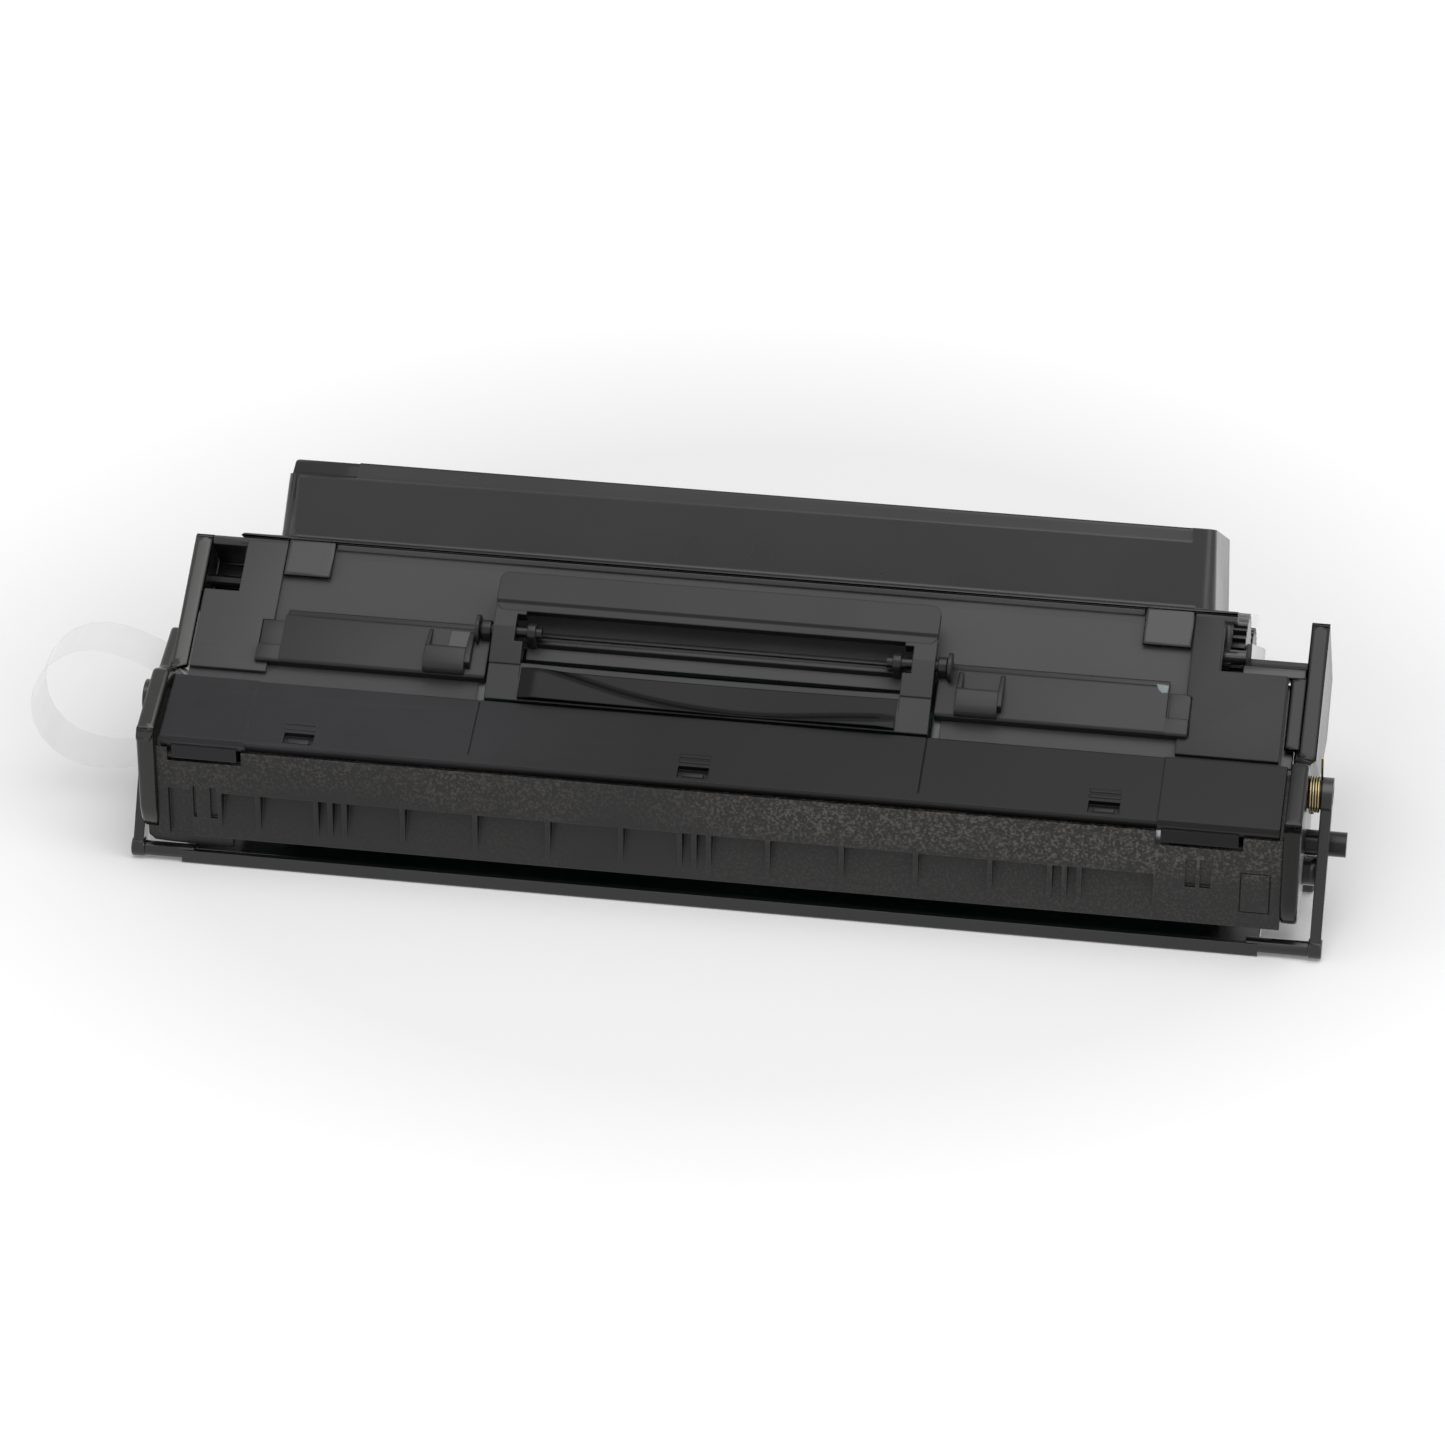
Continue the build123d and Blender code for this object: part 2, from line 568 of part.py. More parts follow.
def waste_cover():
    """Sloped plate over the waste toner space, with three snap windows and end latches."""
    plate = cover_prism([(0, 0), (cover_run, 0), (cover_run, -cover_wall), (1.0, -cover_wall),
                         (0, -cover_lip)], -cover_half, cover_half)
    for x in window_places:
        half = window_size[0] / 2
        plate -= cover_prism([(window_set, 1), (window_set + window_size[1], 1),
                              (window_set + window_size[1], -window_depth), (window_set, -window_depth)],
                             x - half, x + half)
        for k in range(2):
            run = window_set + window_size[1] + 0.9 + 1.6 * k
            plate += cover_prism([(run, -0.2), (run, 0.25), (run + 1.0, 0.25), (run + 1.0, -0.2)],
                                 x - half, x + half)
    # thicker ends with a rolled front edge
    for x0, x1 in ((-cover_half, corner_left), (corner_right, cover_half)):
        plate += cover_prism([(-0.5, -cover_lip), (-0.7, -0.6), (0.3, 0.35), (cover_run, 0.35),
                              (cover_run, -0.5), (0.5, -cover_lip)], x0, x1)
    for x in seam_places:
        plate -= cover_prism([(2.5, -seam[1]), (2.5, 1), (cover_run + 1, 1), (cover_run + 1, -seam[1])],
                             x - seam[0] / 2, x + seam[0] / 2)
    for x0, x1 in latch_spans:
        plate += prism([(front_y - 0.1, band_top + 0.6), (front_y + 1.4, band_top + 1.2),
                        (front_y + 1.4, latch_low + 1.0), (front_y - 0.1, latch_low + 1.0)],
                       x0 + 1.2, x1 - 1.2)
    return plate


def drum_frame():
    """Front wall, end walls and inner rails of the drum unit."""
    wall_section = [
        (front_y, front_foot), (front_y, band_top), (front_y + wall, band_top - 0.1),
        (front_y + wall, band_low + 1.6), (front_y + pocket_depth + 1.6, band_low + 1.0),
        (front_y + wall + 0.4, front_foot + 1.8), (front_y + 6.5, front_foot + 1.2),
        (front_y + 6.5, front_foot),
    ]
    body = prism(wall_section, lower_plate[1], lower_plate[2])
    pocket = [(front_y - 0.5, pocket_low), (front_y - 0.5, band_low), (front_y + pocket_depth, band_low),
              (front_y, pocket_low)]
    body -= prism(pocket, recess_left, recess_right)
    rib = [(front_y, band_low + 0.2), (front_y + pocket_depth, band_low + 0.2), (front_y, pocket_low - 0.1)]
    for k in range(rib_count):
        x0 = rib_first + k * rib_pitch
        body += prism(rib, x0 - rib_wall / 2, x0 + rib_wall / 2)
        if k in boss_ribs:
            for x1 in (x0 - boss_half, x0 + boss_half):
                body += prism(rib, x1 - rib_wall / 2, x1 + rib_wall / 2)
    for recess in front_recesses:
        body -= front_recess(*recess)
    x0, x1, z0, z1 = front_panel
    line = seam[0]
    outline = front_recess(x0, x1, z0, z1, seam[1])
    body -= outline - front_recess(x0 + line, x1 - line, z0 + line, z1 - line, seam[1] + 1)
    # end walls that take the drum shaft
    end_wall = [(front_y + 0.5, front_foot), (front_y + 0.5, band_top), cover_under[0], cover_under[1],
                (-55.0, 38.0), (-50.0, 30.0), (-49.5, 12.0), (-57.0, 6.0), (-70.0, 5.6), (-77.0, 7.0)]
    for x0, x1 in ((lower_plate[1], lower_plate[1] + wall), (lower_plate[2] - wall, lower_plate[2])):
        body += prism(end_wall, x0, x1)
    # ledges that carry the charge roller bearings
    for x0, x1 in bearing_ledges:
        ledge = prism([(front_y + 1.0, 24.5), (front_y + 1.0, band_top - 0.4), (-66.0, 37.2), (-64.5, 33.0),
                       (-66.0, 24.5)], x0, x1)
        ledge -= rod(drum_axis, drum_radius + 0.8, x0 - 1, x1 + 1)
        ledge -= faceted_hole(charge_axis, bearing_half + 0.1, x0, x1)
        body += ledge
    for x0, x1 in latch_spans:
        body -= block(x0, x1, front_y - 2, front_y + wall + 1, latch_low, band_top + 3)
    return body - faceted_hole(drum_axis, drum_shaft_radius + running_fit, lower_plate[0], lower_plate[3])


def end_cap(side):
    """End plate of the cartridge, with a cranked upper part that follows the sloped front."""
    lower_x = lower_plate[:2] if side == "left" else lower_plate[2:]
    upper_x = upper_plate[:2] if side == "left" else upper_plate[2:]
    lower = [(plate_front, 17.0), (plate_front, 35.6), (plate_front + 0.9, 38.2), (plate_front + 2.8, 39.6),
             on_cover(cover_run, 2.2), on_slope(-1.0, 0.4), (-46.0, 46.5), (-38.0, 34.0), (-40.0, 12.0),
             (-50.0, 7.0), (-72.0, 7.0), (-81.0, 9.0), (-83.8, 12.5)]
    upper = [on_slope(-1.0, 0.4), on_slope(0.2, 1.2), on_slope(upper_run - 1.5, 1.2),
             on_slope(upper_run, 0.4), on_slope(upper_run + 1.0, -1.6), upper_back, (-9.0, 18.0),
             (-34.0, 22.0), (-44.0, 30.0)]
    cap = prism(lower, *lower_x) + prism(upper, *upper_x)
    cap -= faceted_hole(drum_axis, drum_shaft_radius + running_fit, *lower_x)
    inner_face, outer_face = sorted(lower_x, key=abs)
    step = -1 if side == "left" else 1
    arm_near, arm_far = sorted(arm_spans[side], key=abs)
    cap += rod(shutter_axis, pivot_pin_radius, *sorted((outer_face, arm_far - step * face_gap)))
    foot = [(foot_rear - 8.0, 4.0), (foot_rear - 7.0, 0), (foot_rear, 0), (foot_rear + 1.5, 12.0),
            (foot_rear - 8.0, 12.0)]
    cap += prism(foot, *sorted((inner_face, outer_face + step * 2.3)))
    if side == "right":
        cap += rod(shutter_axis, pivot_boss_radius, outer_face, arm_near - 0.1)
        y, z, radius, rise = guide_boss
        cap += rod((y, z), radius, outer_face, outer_face + rise)
        top = notch_run - face_gap
        cap += slope_prism([(2.0, -1.0), (2.0, 0.6), (top, 0.6), (top, -1.0)], shoulder_face, upper_x[0])
    return cap


def shutter_panel():
    """Curved cover under the drum, hung on two pins at its front lip."""
    back = polar(chamber_centre, shutter_reach, shutter_back_angle)
    lip = shutter_lift + shutter_lip
    section = [(shutter_front, shutter_lift), (shutter_front, lip), (shutter_front + shutter_wall, lip),
               (shutter_front + 3.2, shutter_lift + 2.1), (back[0], back[1] + 0.3),
               (back[0] - 0.2, back[1] + 0.3 - shutter_wall), (-70.0, shutter_lift)]
    panel = prism(section, -shutter_half, shutter_half)
    for step, span in ((-1, arm_spans["left"]), (1, arm_spans["right"])):
        near, far = sorted(span, key=abs)
        panel += faceted_rod(shutter_foot, foot_bar_radius, *sorted((step * (shutter_half - 3), near)))
        panel += faceted_rod(shutter_foot, foot_pin_radius, *sorted((near, far - step * face_gap)))
    return panel


def shutter_arm(side):
    """Flat lever from the pivot on the end plate, in front of the drum shaft, to the pin at the front lip."""
    x0, x1 = arm_spans[side]
    arm = rod(shutter_axis, arm_eye, x0, x1)
    turn = degrees(atan2(shutter_foot[1] - shutter_axis[1], shutter_foot[0] - shutter_axis[0]))
    arm += prism([polar(shutter_axis, arm_half, turn + 90), polar(shutter_axis, arm_half, turn - 90),
                  polar(shutter_foot, arm_half, turn - 90), polar(shutter_foot, arm_half, turn + 90)], x0, x1)
    y, z = shutter_foot
    arm += faceted_rod(shutter_foot, foot_bar_radius, x0, x1)
    arm += block(x0, x1, y - foot_bar_radius, y + 3.0, z, z + 2.7)
    arm -= faceted_hole(shutter_axis, pivot_pin_radius + running_fit, x0, x1)
    return arm - faceted_hole(shutter_foot, foot_pin_radius + running_fit, x0, x1)


def shutter_spring():
    """Torsion spring round the right pivot, one leg on the end plate and one on the arm."""
    first = lower_plate[3] + spring_wire / 2 + 0.08
    count = spring_turns * spring_steps
    y, z = polar(shutter_axis, spring_radius, spring_turn)
    leg = (sin(radians(spring_turn)), -cos(radians(spring_turn)))
    points = [(first, y + leg[0] * spring_legs[0], z + leg[1] * spring_legs[0])]
    for k in range(count + 1):
        y, z = polar(shutter_axis, spring_radius, spring_turn + 360 * k / spring_steps)
        points.append((first + spring_pitch * k / spring_steps, y, z))
    last = points[-1]
    points.append((last[0], last[1] - leg[0] * spring_legs[1], last[2] - leg[1] * spring_legs[1]))
    path = Polyline(*points)
    start = Plane(origin=path @ 0, z_dir=path % 0)
    return sweep(start * RegularPolygon(spring_wire / 2, 4), path=path, transition=Transition.RIGHT)


def drum_tube():
    """Thin aluminium tube of the photoconductor drum."""
    bore = rod(drum_axis, drum_radius - drum_wall, drum_left - 1, drum_right + 1)
    return rod(drum_axis, drum_radius, drum_left, drum_right) - bore


def drum_hub():
    """Plain flange in the left end of the drum tube."""
    hub = faceted_rod(drum_axis, drum_radius - drum_wall, drum_left - 2.0, drum_left + 6)
    hub += faceted_rod(drum_axis, 5.0, drum_left - 8.0, drum_left - 2.0)
    bore = drum_shaft_radius + running_fit
    return hub - faceted_hole(drum_axis, bore, drum_left - 8.0, drum_left + 6)


def drum_gear():
    """Gear flange in the right end of the drum tube."""
    flange = faceted_rod(drum_axis, drum_radius - drum_wall, drum_right - 6, gear_span[0])
    bore = faceted_hole(drum_axis, drum_shaft_radius + running_fit, drum_right - 6, gear_span[1])
    return spur_gear(drum_axis, drum_teeth, drum_turn, bore) + (flange - bore)


def drum_shaft():
    """Steel shaft through the drum; its right end stands out as the locating post."""
    shaft = faceted_rod(drum_axis, drum_shaft_radius, lower_plate[0] + 0.5, lower_plate[3])
    return shaft + rod(drum_axis, drum_post_radius, lower_plate[3], lower_plate[3] + drum_post_length)


def charge_roller():
    """Rubber sleeve of the charge roller."""
    return sleeve(charge_axis, charge_radius, charge_shaft_radius, -charge_half, charge_half)


def charge_shaft():
    """Steel core of the charge roller."""
    left, right = bearing_ledges[0][0] - 0.5, bearing_ledges[1][1] + 0.5
    return faceted_rod(charge_axis, charge_shaft_radius, left, right)


def charge_bearing(side):
    """Plastic bush that carries one end of the charge roller core."""
    span = bearing_ledges[0] if side == "left" else bearing_ledges[1]
    bore = faceted_hole(charge_axis, charge_shaft_radius + running_fit, *span)
    return faceted_rod(charge_axis, bearing_half, *span) - bore


def developer_roller():
    """Rubber sleeve of the developer roller."""
    return sleeve(developer_axis, developer_radius, roller_shaft_radius, -working_half, working_half)


def supply_roller():
    """Foam sleeve of the toner supply roller."""
    return sleeve(supply_axis, supply_radius, roller_shaft_radius, -supply_half, supply_half)


def roller_shaft(axis):
    """Steel core of the developer or supply roller, with its drive end at the right."""
    return faceted_rod(axis, roller_shaft_radius, tub_left - 4.0, gear_span[1] + 0.6)


def shaft_gear(axis, teeth, turn, radius):
    """Gear that sits fast on the drive end of a shaft."""
    return spur_gear(axis, teeth, turn, faceted_rod(axis, radius, gear_span[0] - 1, gear_span[1] + 1))


def stub_gear(axis, teeth, turn):
    """Gear that turns on a stub of the toner frame."""
    return spur_gear(axis, teeth, turn, faceted_hole(axis, stub_radius + running_fit, *gear_span))


def agitator_shaft():
    """Shaft in the hopper with a ladder of arms that carries the paddle film."""
    shaft = faceted_rod(agitator_axis, agitator_shaft_radius, tub_left - 3.0, gear_span[1] + 0.6)
    y, z = agitator_axis
    for k in range(6):
        x = -paddle_half + 4 + k * (2 * paddle_half - 8) / 5
        shaft += block(x - 2, x + 2, y - 1.0, y + 0.6, z, z + 10)
    shaft += block(-paddle_half, paddle_half, y - 1.0, y + 0.6, z + 9, z + 12)
    return shaft


def agitator_film():
    """Springy plastic sheet that sweeps the toner towards the supply roller."""
    y, z = agitator_axis
    return block(-paddle_half, paddle_half, y + 0.6, y + 0.9, z + 7, z + paddle_reach)


def blade_bracket():
    """Bent steel angle that holds the cleaning blade."""
    return prism([(front_y + wall + 0.1, 24.4), (front_y + wall + 0.1, 33.0), (front_y + wall + 1.3, 33.0),
                  (front_y + wall + 1.3, 28.6), (-76.2, 25.8), (-77.0, 24.9), (-79.6, 27.2), (-79.8, 24.4)],
                 -working_half, working_half)


def cleaning_blade():
    """Urethane strip that scrapes the drum."""
    return prism([(-79.6, 27.2), (-77.0, 24.9), (-71.9, 20.4), (-72.9, 18.8), (-79.4, 24.6)],
                 -working_half, working_half)


def doctor_blade():
    """Steel strip that levels the toner on the developer roller."""
    edge = polar(developer_axis, developer_radius + 0.3, 130)
    return prism([(mouth_top[0] - 0.2, 40.0), (mouth_top[0] + 0.75, 40.0),
                  (mouth_lip[0] - 0.15, mouth_lip[1]), (edge[0] + 0.3, edge[1] + 0.6), edge,
                  (edge[0] - 1.0, edge[1] + 0.4), (mouth_lip[0] - 1.15, mouth_lip[1])],
                 -working_half, working_half)


def gear_cover_plate():
    """Side plate over the gear train, parallel to the weld flange along its top."""
    x0, x1 = gear_cover
    plate = prism([(-31.5, 58.0), (14.0, 31.0), (25.5, 24.0), (26.0, 16.0), (14.0, 4.0), (-6.0, 4.5),
                   (-22.0, 10.0), (-34.0, 9.5), (-47.0, 12.0), (-48.5, 24.0), (-44.0, 36.0), (-37.5, 42.0)],
                  x0, x1)
    for post in gear_cover_posts:
        plate += faceted_rod(post, 1.8, tub_right, x0)
    return plate


def fill_plug():
    """Soft plastic plug in the filling hole of the hopper."""
    plug = faceted_rod(plug_axis, plug_radius, tub_left, tub_left + wall + 2)
    return plug + faceted_rod(plug_axis, plug_radius + 1.6, tub_left - 1.4, tub_left)


def contact_plate():
    """Sprung metal contact on the left wall of the toner frame."""
    plate = prism([(-45.0, 38.0), (-45.0, 44.5), (-38.0, 49.0), (-35.0, 49.0), (-35.0, 42.0), (-40.0, 38.0)],
                  tub_left - 0.8, tub_left)
    return plate + prism([(-39.5, 46.5), (-39.5, 48.0), (-36.0, 49.0), (-36.0, 47.5)],
                         tub_left - 4.0, tub_left)


def frame_pins():
    """Two pins that join the toner frame to the end plates."""
    right = faceted_rod(frame_pin_axis, frame_pin_radius, gear_cover[1], upper_plate[2])
    left = faceted_rod(frame_pin_axis, frame_pin_radius, upper_plate[1], tub_left)
    return Compound(children=[left, right])


def end_screws():
    """Four screws that hold the end plates, heads outwards."""
    screws = []
    for y, z in screw_places:
        for side, face in ((-1, lower_plate[0]), (1, lower_plate[3])):
            screws.append(faceted_rod((y, z), screw_head[0], *sorted((face, face + side * screw_head[1]))))
    return Compound(children=screws)


def seal_tab():
    """Clear plastic tab of the hopper seal at the right end of the weld flange."""
    low = -2 * flange_wall - 0.6
    return flange_prism([(0.3, low), (6.0, low), (6.0, -0.2), (0.3, -0.2)], flange_right, flange_right + 5.0)


def pull_strip():
    """Loop of clear film outside the left end plate, for pulling the hopper seal out."""
    face = lower_plate[0]
    loop = [(face - reach, height) for reach, height in strip_points]
    line = Spline((face, strip_ends[0]), *loop, (face, strip_ends[1]))
    steps = 20
    points = [line @ (k / steps) for k in range(steps + 1)]
    inner = []
    for k, point in enumerate(points):
        along = line % (k / steps)
        inner.append((point.X - along.Y * strip_film, point.Y + along.X * strip_film))
    inner[0] = (face, inner[0][1])
    inner[-1] = (face, inner[-1][1])
    outline = [(point.X, point.Y) for point in points] + inner[::-1]
    film = Plane.XZ.offset(-strip_middle - strip_half) * make_face(Polyline(*outline, close=True))
    return extrude(film, 2 * strip_half)


nodes = {
    "toner_frame": toner_frame,
    "hopper_lid": hopper_lid,
    "light_shield": light_shield,
    "carry_handle": carry_handle,
    "handle_pin_left": lambda: handle_pin("left"),
    "handle_pin_right": lambda: handle_pin("right"),
    "waste_cover": waste_cover,
    "drum_frame": drum_frame,
    "left_end_cap": lambda: end_cap("left"),
    "right_end_cap": lambda: end_cap("right"),
    "shutter_panel": shutter_panel,
    "shutter_arm_left": lambda: shutter_arm("left"),
    "shutter_arm_right": lambda: shutter_arm("right"),
    "shutter_spring": shutter_spring,
    "drum_tube": drum_tube,
    "drum_hub": drum_hub,
    "drum_gear": drum_gear,
    "drum_shaft": drum_shaft,
    "charge_roller": charge_roller,
    "charge_shaft": charge_shaft,
    "charge_bearing_left": lambda: charge_bearing("left"),
    "charge_bearing_right": lambda: charge_bearing("right"),
    "cleaning_blade": cleaning_blade,
    "blade_bracket": blade_bracket,
    "developer_roller": developer_roller,
    "developer_shaft": lambda: roller_shaft(developer_axis),
    "developer_gear": lambda: shaft_gear(developer_axis, developer_teeth, developer_turn,
                                         roller_shaft_radius),
    "doctor_blade": doctor_blade,
    "supply_roller": supply_roller,
    "supply_shaft": lambda: roller_shaft(supply_axis),
    "supply_gear": lambda: shaft_gear(supply_axis, supply_teeth, supply_turn, roller_shaft_radius),
    "idler_gear": lambda: stub_gear(idler_axis, idler_teeth, idler_turn),
    "transfer_gear": lambda: stub_gear(transfer_axis, transfer_teeth, transfer_turn),
    "agitator_gear": lambda: shaft_gear(agitator_axis, agitator_teeth, agitator_turn, agitator_shaft_radius),
    "agitator_shaft": agitator_shaft,
    "agitator_film": agitator_film,
    "gear_cover": gear_cover_plate,
    "fill_plug": fill_plug,
    "contact_plate": contact_plate,
    "frame_pins": frame_pins,
    "end_screws": end_screws,
    "seal_tab": seal_tab,
    "pull_strip": pull_strip,
}

os.makedirs("parts", exist_ok=True)
for name, make in nodes.items():
    shape = make()
    export_step(shape, f"parts/{name}.step")
    print(name, round(shape.volume), len(shape.solids()))
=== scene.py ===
import json
import math

import bmesh
import bpy
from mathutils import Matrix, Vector


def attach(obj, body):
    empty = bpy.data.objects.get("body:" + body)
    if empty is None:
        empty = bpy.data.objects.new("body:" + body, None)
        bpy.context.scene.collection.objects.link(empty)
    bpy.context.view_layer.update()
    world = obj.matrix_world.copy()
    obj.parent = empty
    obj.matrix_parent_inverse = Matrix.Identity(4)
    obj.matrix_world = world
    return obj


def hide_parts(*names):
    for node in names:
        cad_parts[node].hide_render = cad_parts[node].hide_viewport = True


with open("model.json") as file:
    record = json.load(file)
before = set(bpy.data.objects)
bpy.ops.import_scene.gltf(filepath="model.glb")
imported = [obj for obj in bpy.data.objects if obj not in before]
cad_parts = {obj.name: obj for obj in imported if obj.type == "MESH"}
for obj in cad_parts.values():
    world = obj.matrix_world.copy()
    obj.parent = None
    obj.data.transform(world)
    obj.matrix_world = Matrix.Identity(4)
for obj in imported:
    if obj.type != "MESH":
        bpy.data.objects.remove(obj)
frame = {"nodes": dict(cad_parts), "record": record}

scene = bpy.context.scene
scene.view_settings.view_transform = "Standard"
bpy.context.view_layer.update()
nodes = frame["nodes"]
mm = 0.001
print("frame loaded with", len(nodes), "nodes")


# camera: the place, aim and lens of the photograph
camera = {"place": (0.2041, -1.3142, 0.7947), "aim": (-0.13895, 0.84855, -0.51054), "lens": 149.8, "sensor": 36.0,
          "clip": (0.05, 30.0)}


def addCamera(settings):
    data = bpy.data.cameras.new("photoCamera")
    data.sensor_width = settings["sensor"]
    data.lens = settings["lens"]
    data.clip_start, data.clip_end = settings["clip"]
    viewer = bpy.data.objects.new("photoCamera", data)
    scene.collection.objects.link(viewer)
    viewer.location = settings["place"]
    viewer.rotation_euler = Vector(settings["aim"]).to_track_quat("-Z", "Y").to_euler()
    scene.camera = viewer


# light: one broad lamp overhead, one low at each side, and a pale room
lamps = {
    "overhead": {"place": (0.2, -0.3, 1.5), "size": (1.6, 1.3), "power": 15.0},
    "left": {"place": (-1.5, -0.7, 0.8), "size": (0.9, 1.2), "power": 3.5},
    "right": {"place": (1.5, -0.5, 0.9), "size": (0.9, 1.2), "power": 6.5},
}
lampAim = (0.0, -0.03, 0.03)
room = {"light": 0.36, "seen": 1.0}


def addLamps(settings):
    for name, one in settings.items():
        data = bpy.data.lights.new(name + "Lamp", "AREA")
        data.shape = "RECTANGLE"
        data.size, data.size_y = one["size"]
        data.energy = one["power"]
        lamp = bpy.data.objects.new(name + "Lamp", data)
        scene.collection.objects.link(lamp)
        lamp.location = one["place"]
        aim = Vector(lampAim) - lamp.location
        lamp.rotation_euler = aim.to_track_quat("-Z", "Y").to_euler()


def addNode(tree, kind, inputs=None, **values):
    made = tree.nodes.new(kind)
    for key, value in values.items():
        setattr(made, key, value)
    for key, value in (inputs or {}).items():
        if isinstance(value, bpy.types.NodeSocket):
            tree.links.new(value, made.inputs[key])
        else:
            made.inputs[key].default_value = value
    return made


def sumOf(tree, first, second):
    return addNode(tree, "ShaderNodeMath", {0: first, 1: second}, operation="ADD", use_clamp=True).outputs[0]


def product(tree, first, second):
    return addNode(tree, "ShaderNodeMath", {0: first, 1: second}, operation="MULTIPLY").outputs[0]


def addRoom(settings):
    world = bpy.data.worlds.new("room")
    world.use_nodes = True
    scene.world = world
    tree = world.node_tree
    tree.nodes.clear()
    path = addNode(tree, "ShaderNodeLightPath")
    seen = sumOf(tree, path.outputs["Is Camera Ray"], path.outputs["Is Glossy Ray"])
    seen = sumOf(tree, seen, path.outputs["Is Transmission Ray"])
    lit = addNode(tree, "ShaderNodeBackground", {"Color": (1, 1, 1, 1), "Strength": settings["light"]})
    shown = addNode(tree, "ShaderNodeBackground", {"Color": (1, 1, 1, 1), "Strength": settings["seen"]})
    mix = addNode(tree, "ShaderNodeMixShader", {0: seen, 1: lit.outputs[0], 2: shown.outputs[0]})
    addNode(tree, "ShaderNodeOutputWorld", {"Surface": mix.outputs[0]})


def newMaterial(name):
    material = bpy.data.materials.new(name)
    material.use_nodes = True
    material.node_tree.nodes.clear()
    return material, material.node_tree


# floor: pale paper whose camera-only glow is weaker near the object, a painted shade around it, and whiter away from it
floorLook = {"size": 12.0, "colour": 0.79, "grain": 0.01, "glowWithPaintedShade": (0.12, 0.50), "reach": (0.158, 0.335)}


def addFloor(settings):
    material, tree = newMaterial("paperFloor")
    path = addNode(tree, "ShaderNodeLightPath")
    grain = addNode(tree, "ShaderNodeTexNoise", {"Scale": 60.0, "Detail": 4.0})
    tone, uneven = settings["colour"], settings["grain"]
    ramp = addNode(tree, "ShaderNodeMapRange", {0: grain.outputs["Fac"], 3: tone - uneven, 4: tone + uneven})
    matt = addNode(tree, "ShaderNodeBsdfDiffuse", {"Color": ramp.outputs[0]})
    white = addNode(tree, "ShaderNodeEmission", {"Color": (1, 1, 1, 1), "Strength": 1.0})
    share = sumOf(tree, path.outputs["Is Glossy Ray"], path.outputs["Is Transmission Ray"])
    mix = addNode(tree, "ShaderNodeMixShader", {0: share, 1: matt.outputs[0], 2: white.outputs[0]})
    place = addNode(tree, "ShaderNodeTexCoord").outputs["Object"]
    away = addNode(tree, "ShaderNodeVectorMath", {0: place}, operation="LENGTH").outputs["Value"]
    # painted shade: the glow falls off towards the object, so the floor around it reads darker, like a shadow
    paintedShadeRamp = addNode(tree, "ShaderNodeMapRange", {0: away, 1: settings["reach"][0], 2: settings["reach"][1],
                                                  3: settings["glowWithPaintedShade"][0], 4: settings["glowWithPaintedShade"][1]})
    strength = product(tree, path.outputs["Is Camera Ray"], paintedShadeRamp.outputs[0])
    glowWithPaintedShade = addNode(tree, "ShaderNodeEmission", {"Color": (1, 1, 1, 1), "Strength": strength})
    both = addNode(tree, "ShaderNodeAddShader", {0: mix.outputs[0], 1: glowWithPaintedShade.outputs[0]})
    addNode(tree, "ShaderNodeOutputMaterial", {"Surface": both.outputs[0]})
    half = settings["size"] / 2
    mesh = bpy.data.meshes.new("paperFloor")
    mesh.from_pydata([(-half, -half, 0), (half, -half, 0), (half, half, 0), (-half, half, 0)], [], [(0, 1, 2, 3)])
    mesh.materials.append(material)
    floor = bpy.data.objects.new("paperFloor", mesh)
    scene.collection.objects.link(floor)


addCamera(camera)
addLamps(lamps)
addRoom(room)
addFloor(floorLook)
print("camera, lamps, room and floor are in place")


# tones are written as screen values
def linear(value):
    value = value / 255
    return value / 12.92 if value <= 0.04045 else ((value + 0.055) / 1.055) ** 2.4


def screenTone(red, green, blue):
    return (linear(red), linear(green), linear(blue), 1.0)


# moulded plastic: fine grain, faint pale scuffs, and edges painted paler as a painted highlight
plasticLook = {"edgeRadius": 0.45, "patches": 22.0, "grain": 1400.0, "streaks": (18.0, 420.0, 420.0), "paintedLightFrom": -105,
               "paintedLightTo": -5}
dustLook = {"tone": (118, 110, 102), "clouds": 14.0, "dots": 1500.0, "height": (20, 25), "below": 0.25}


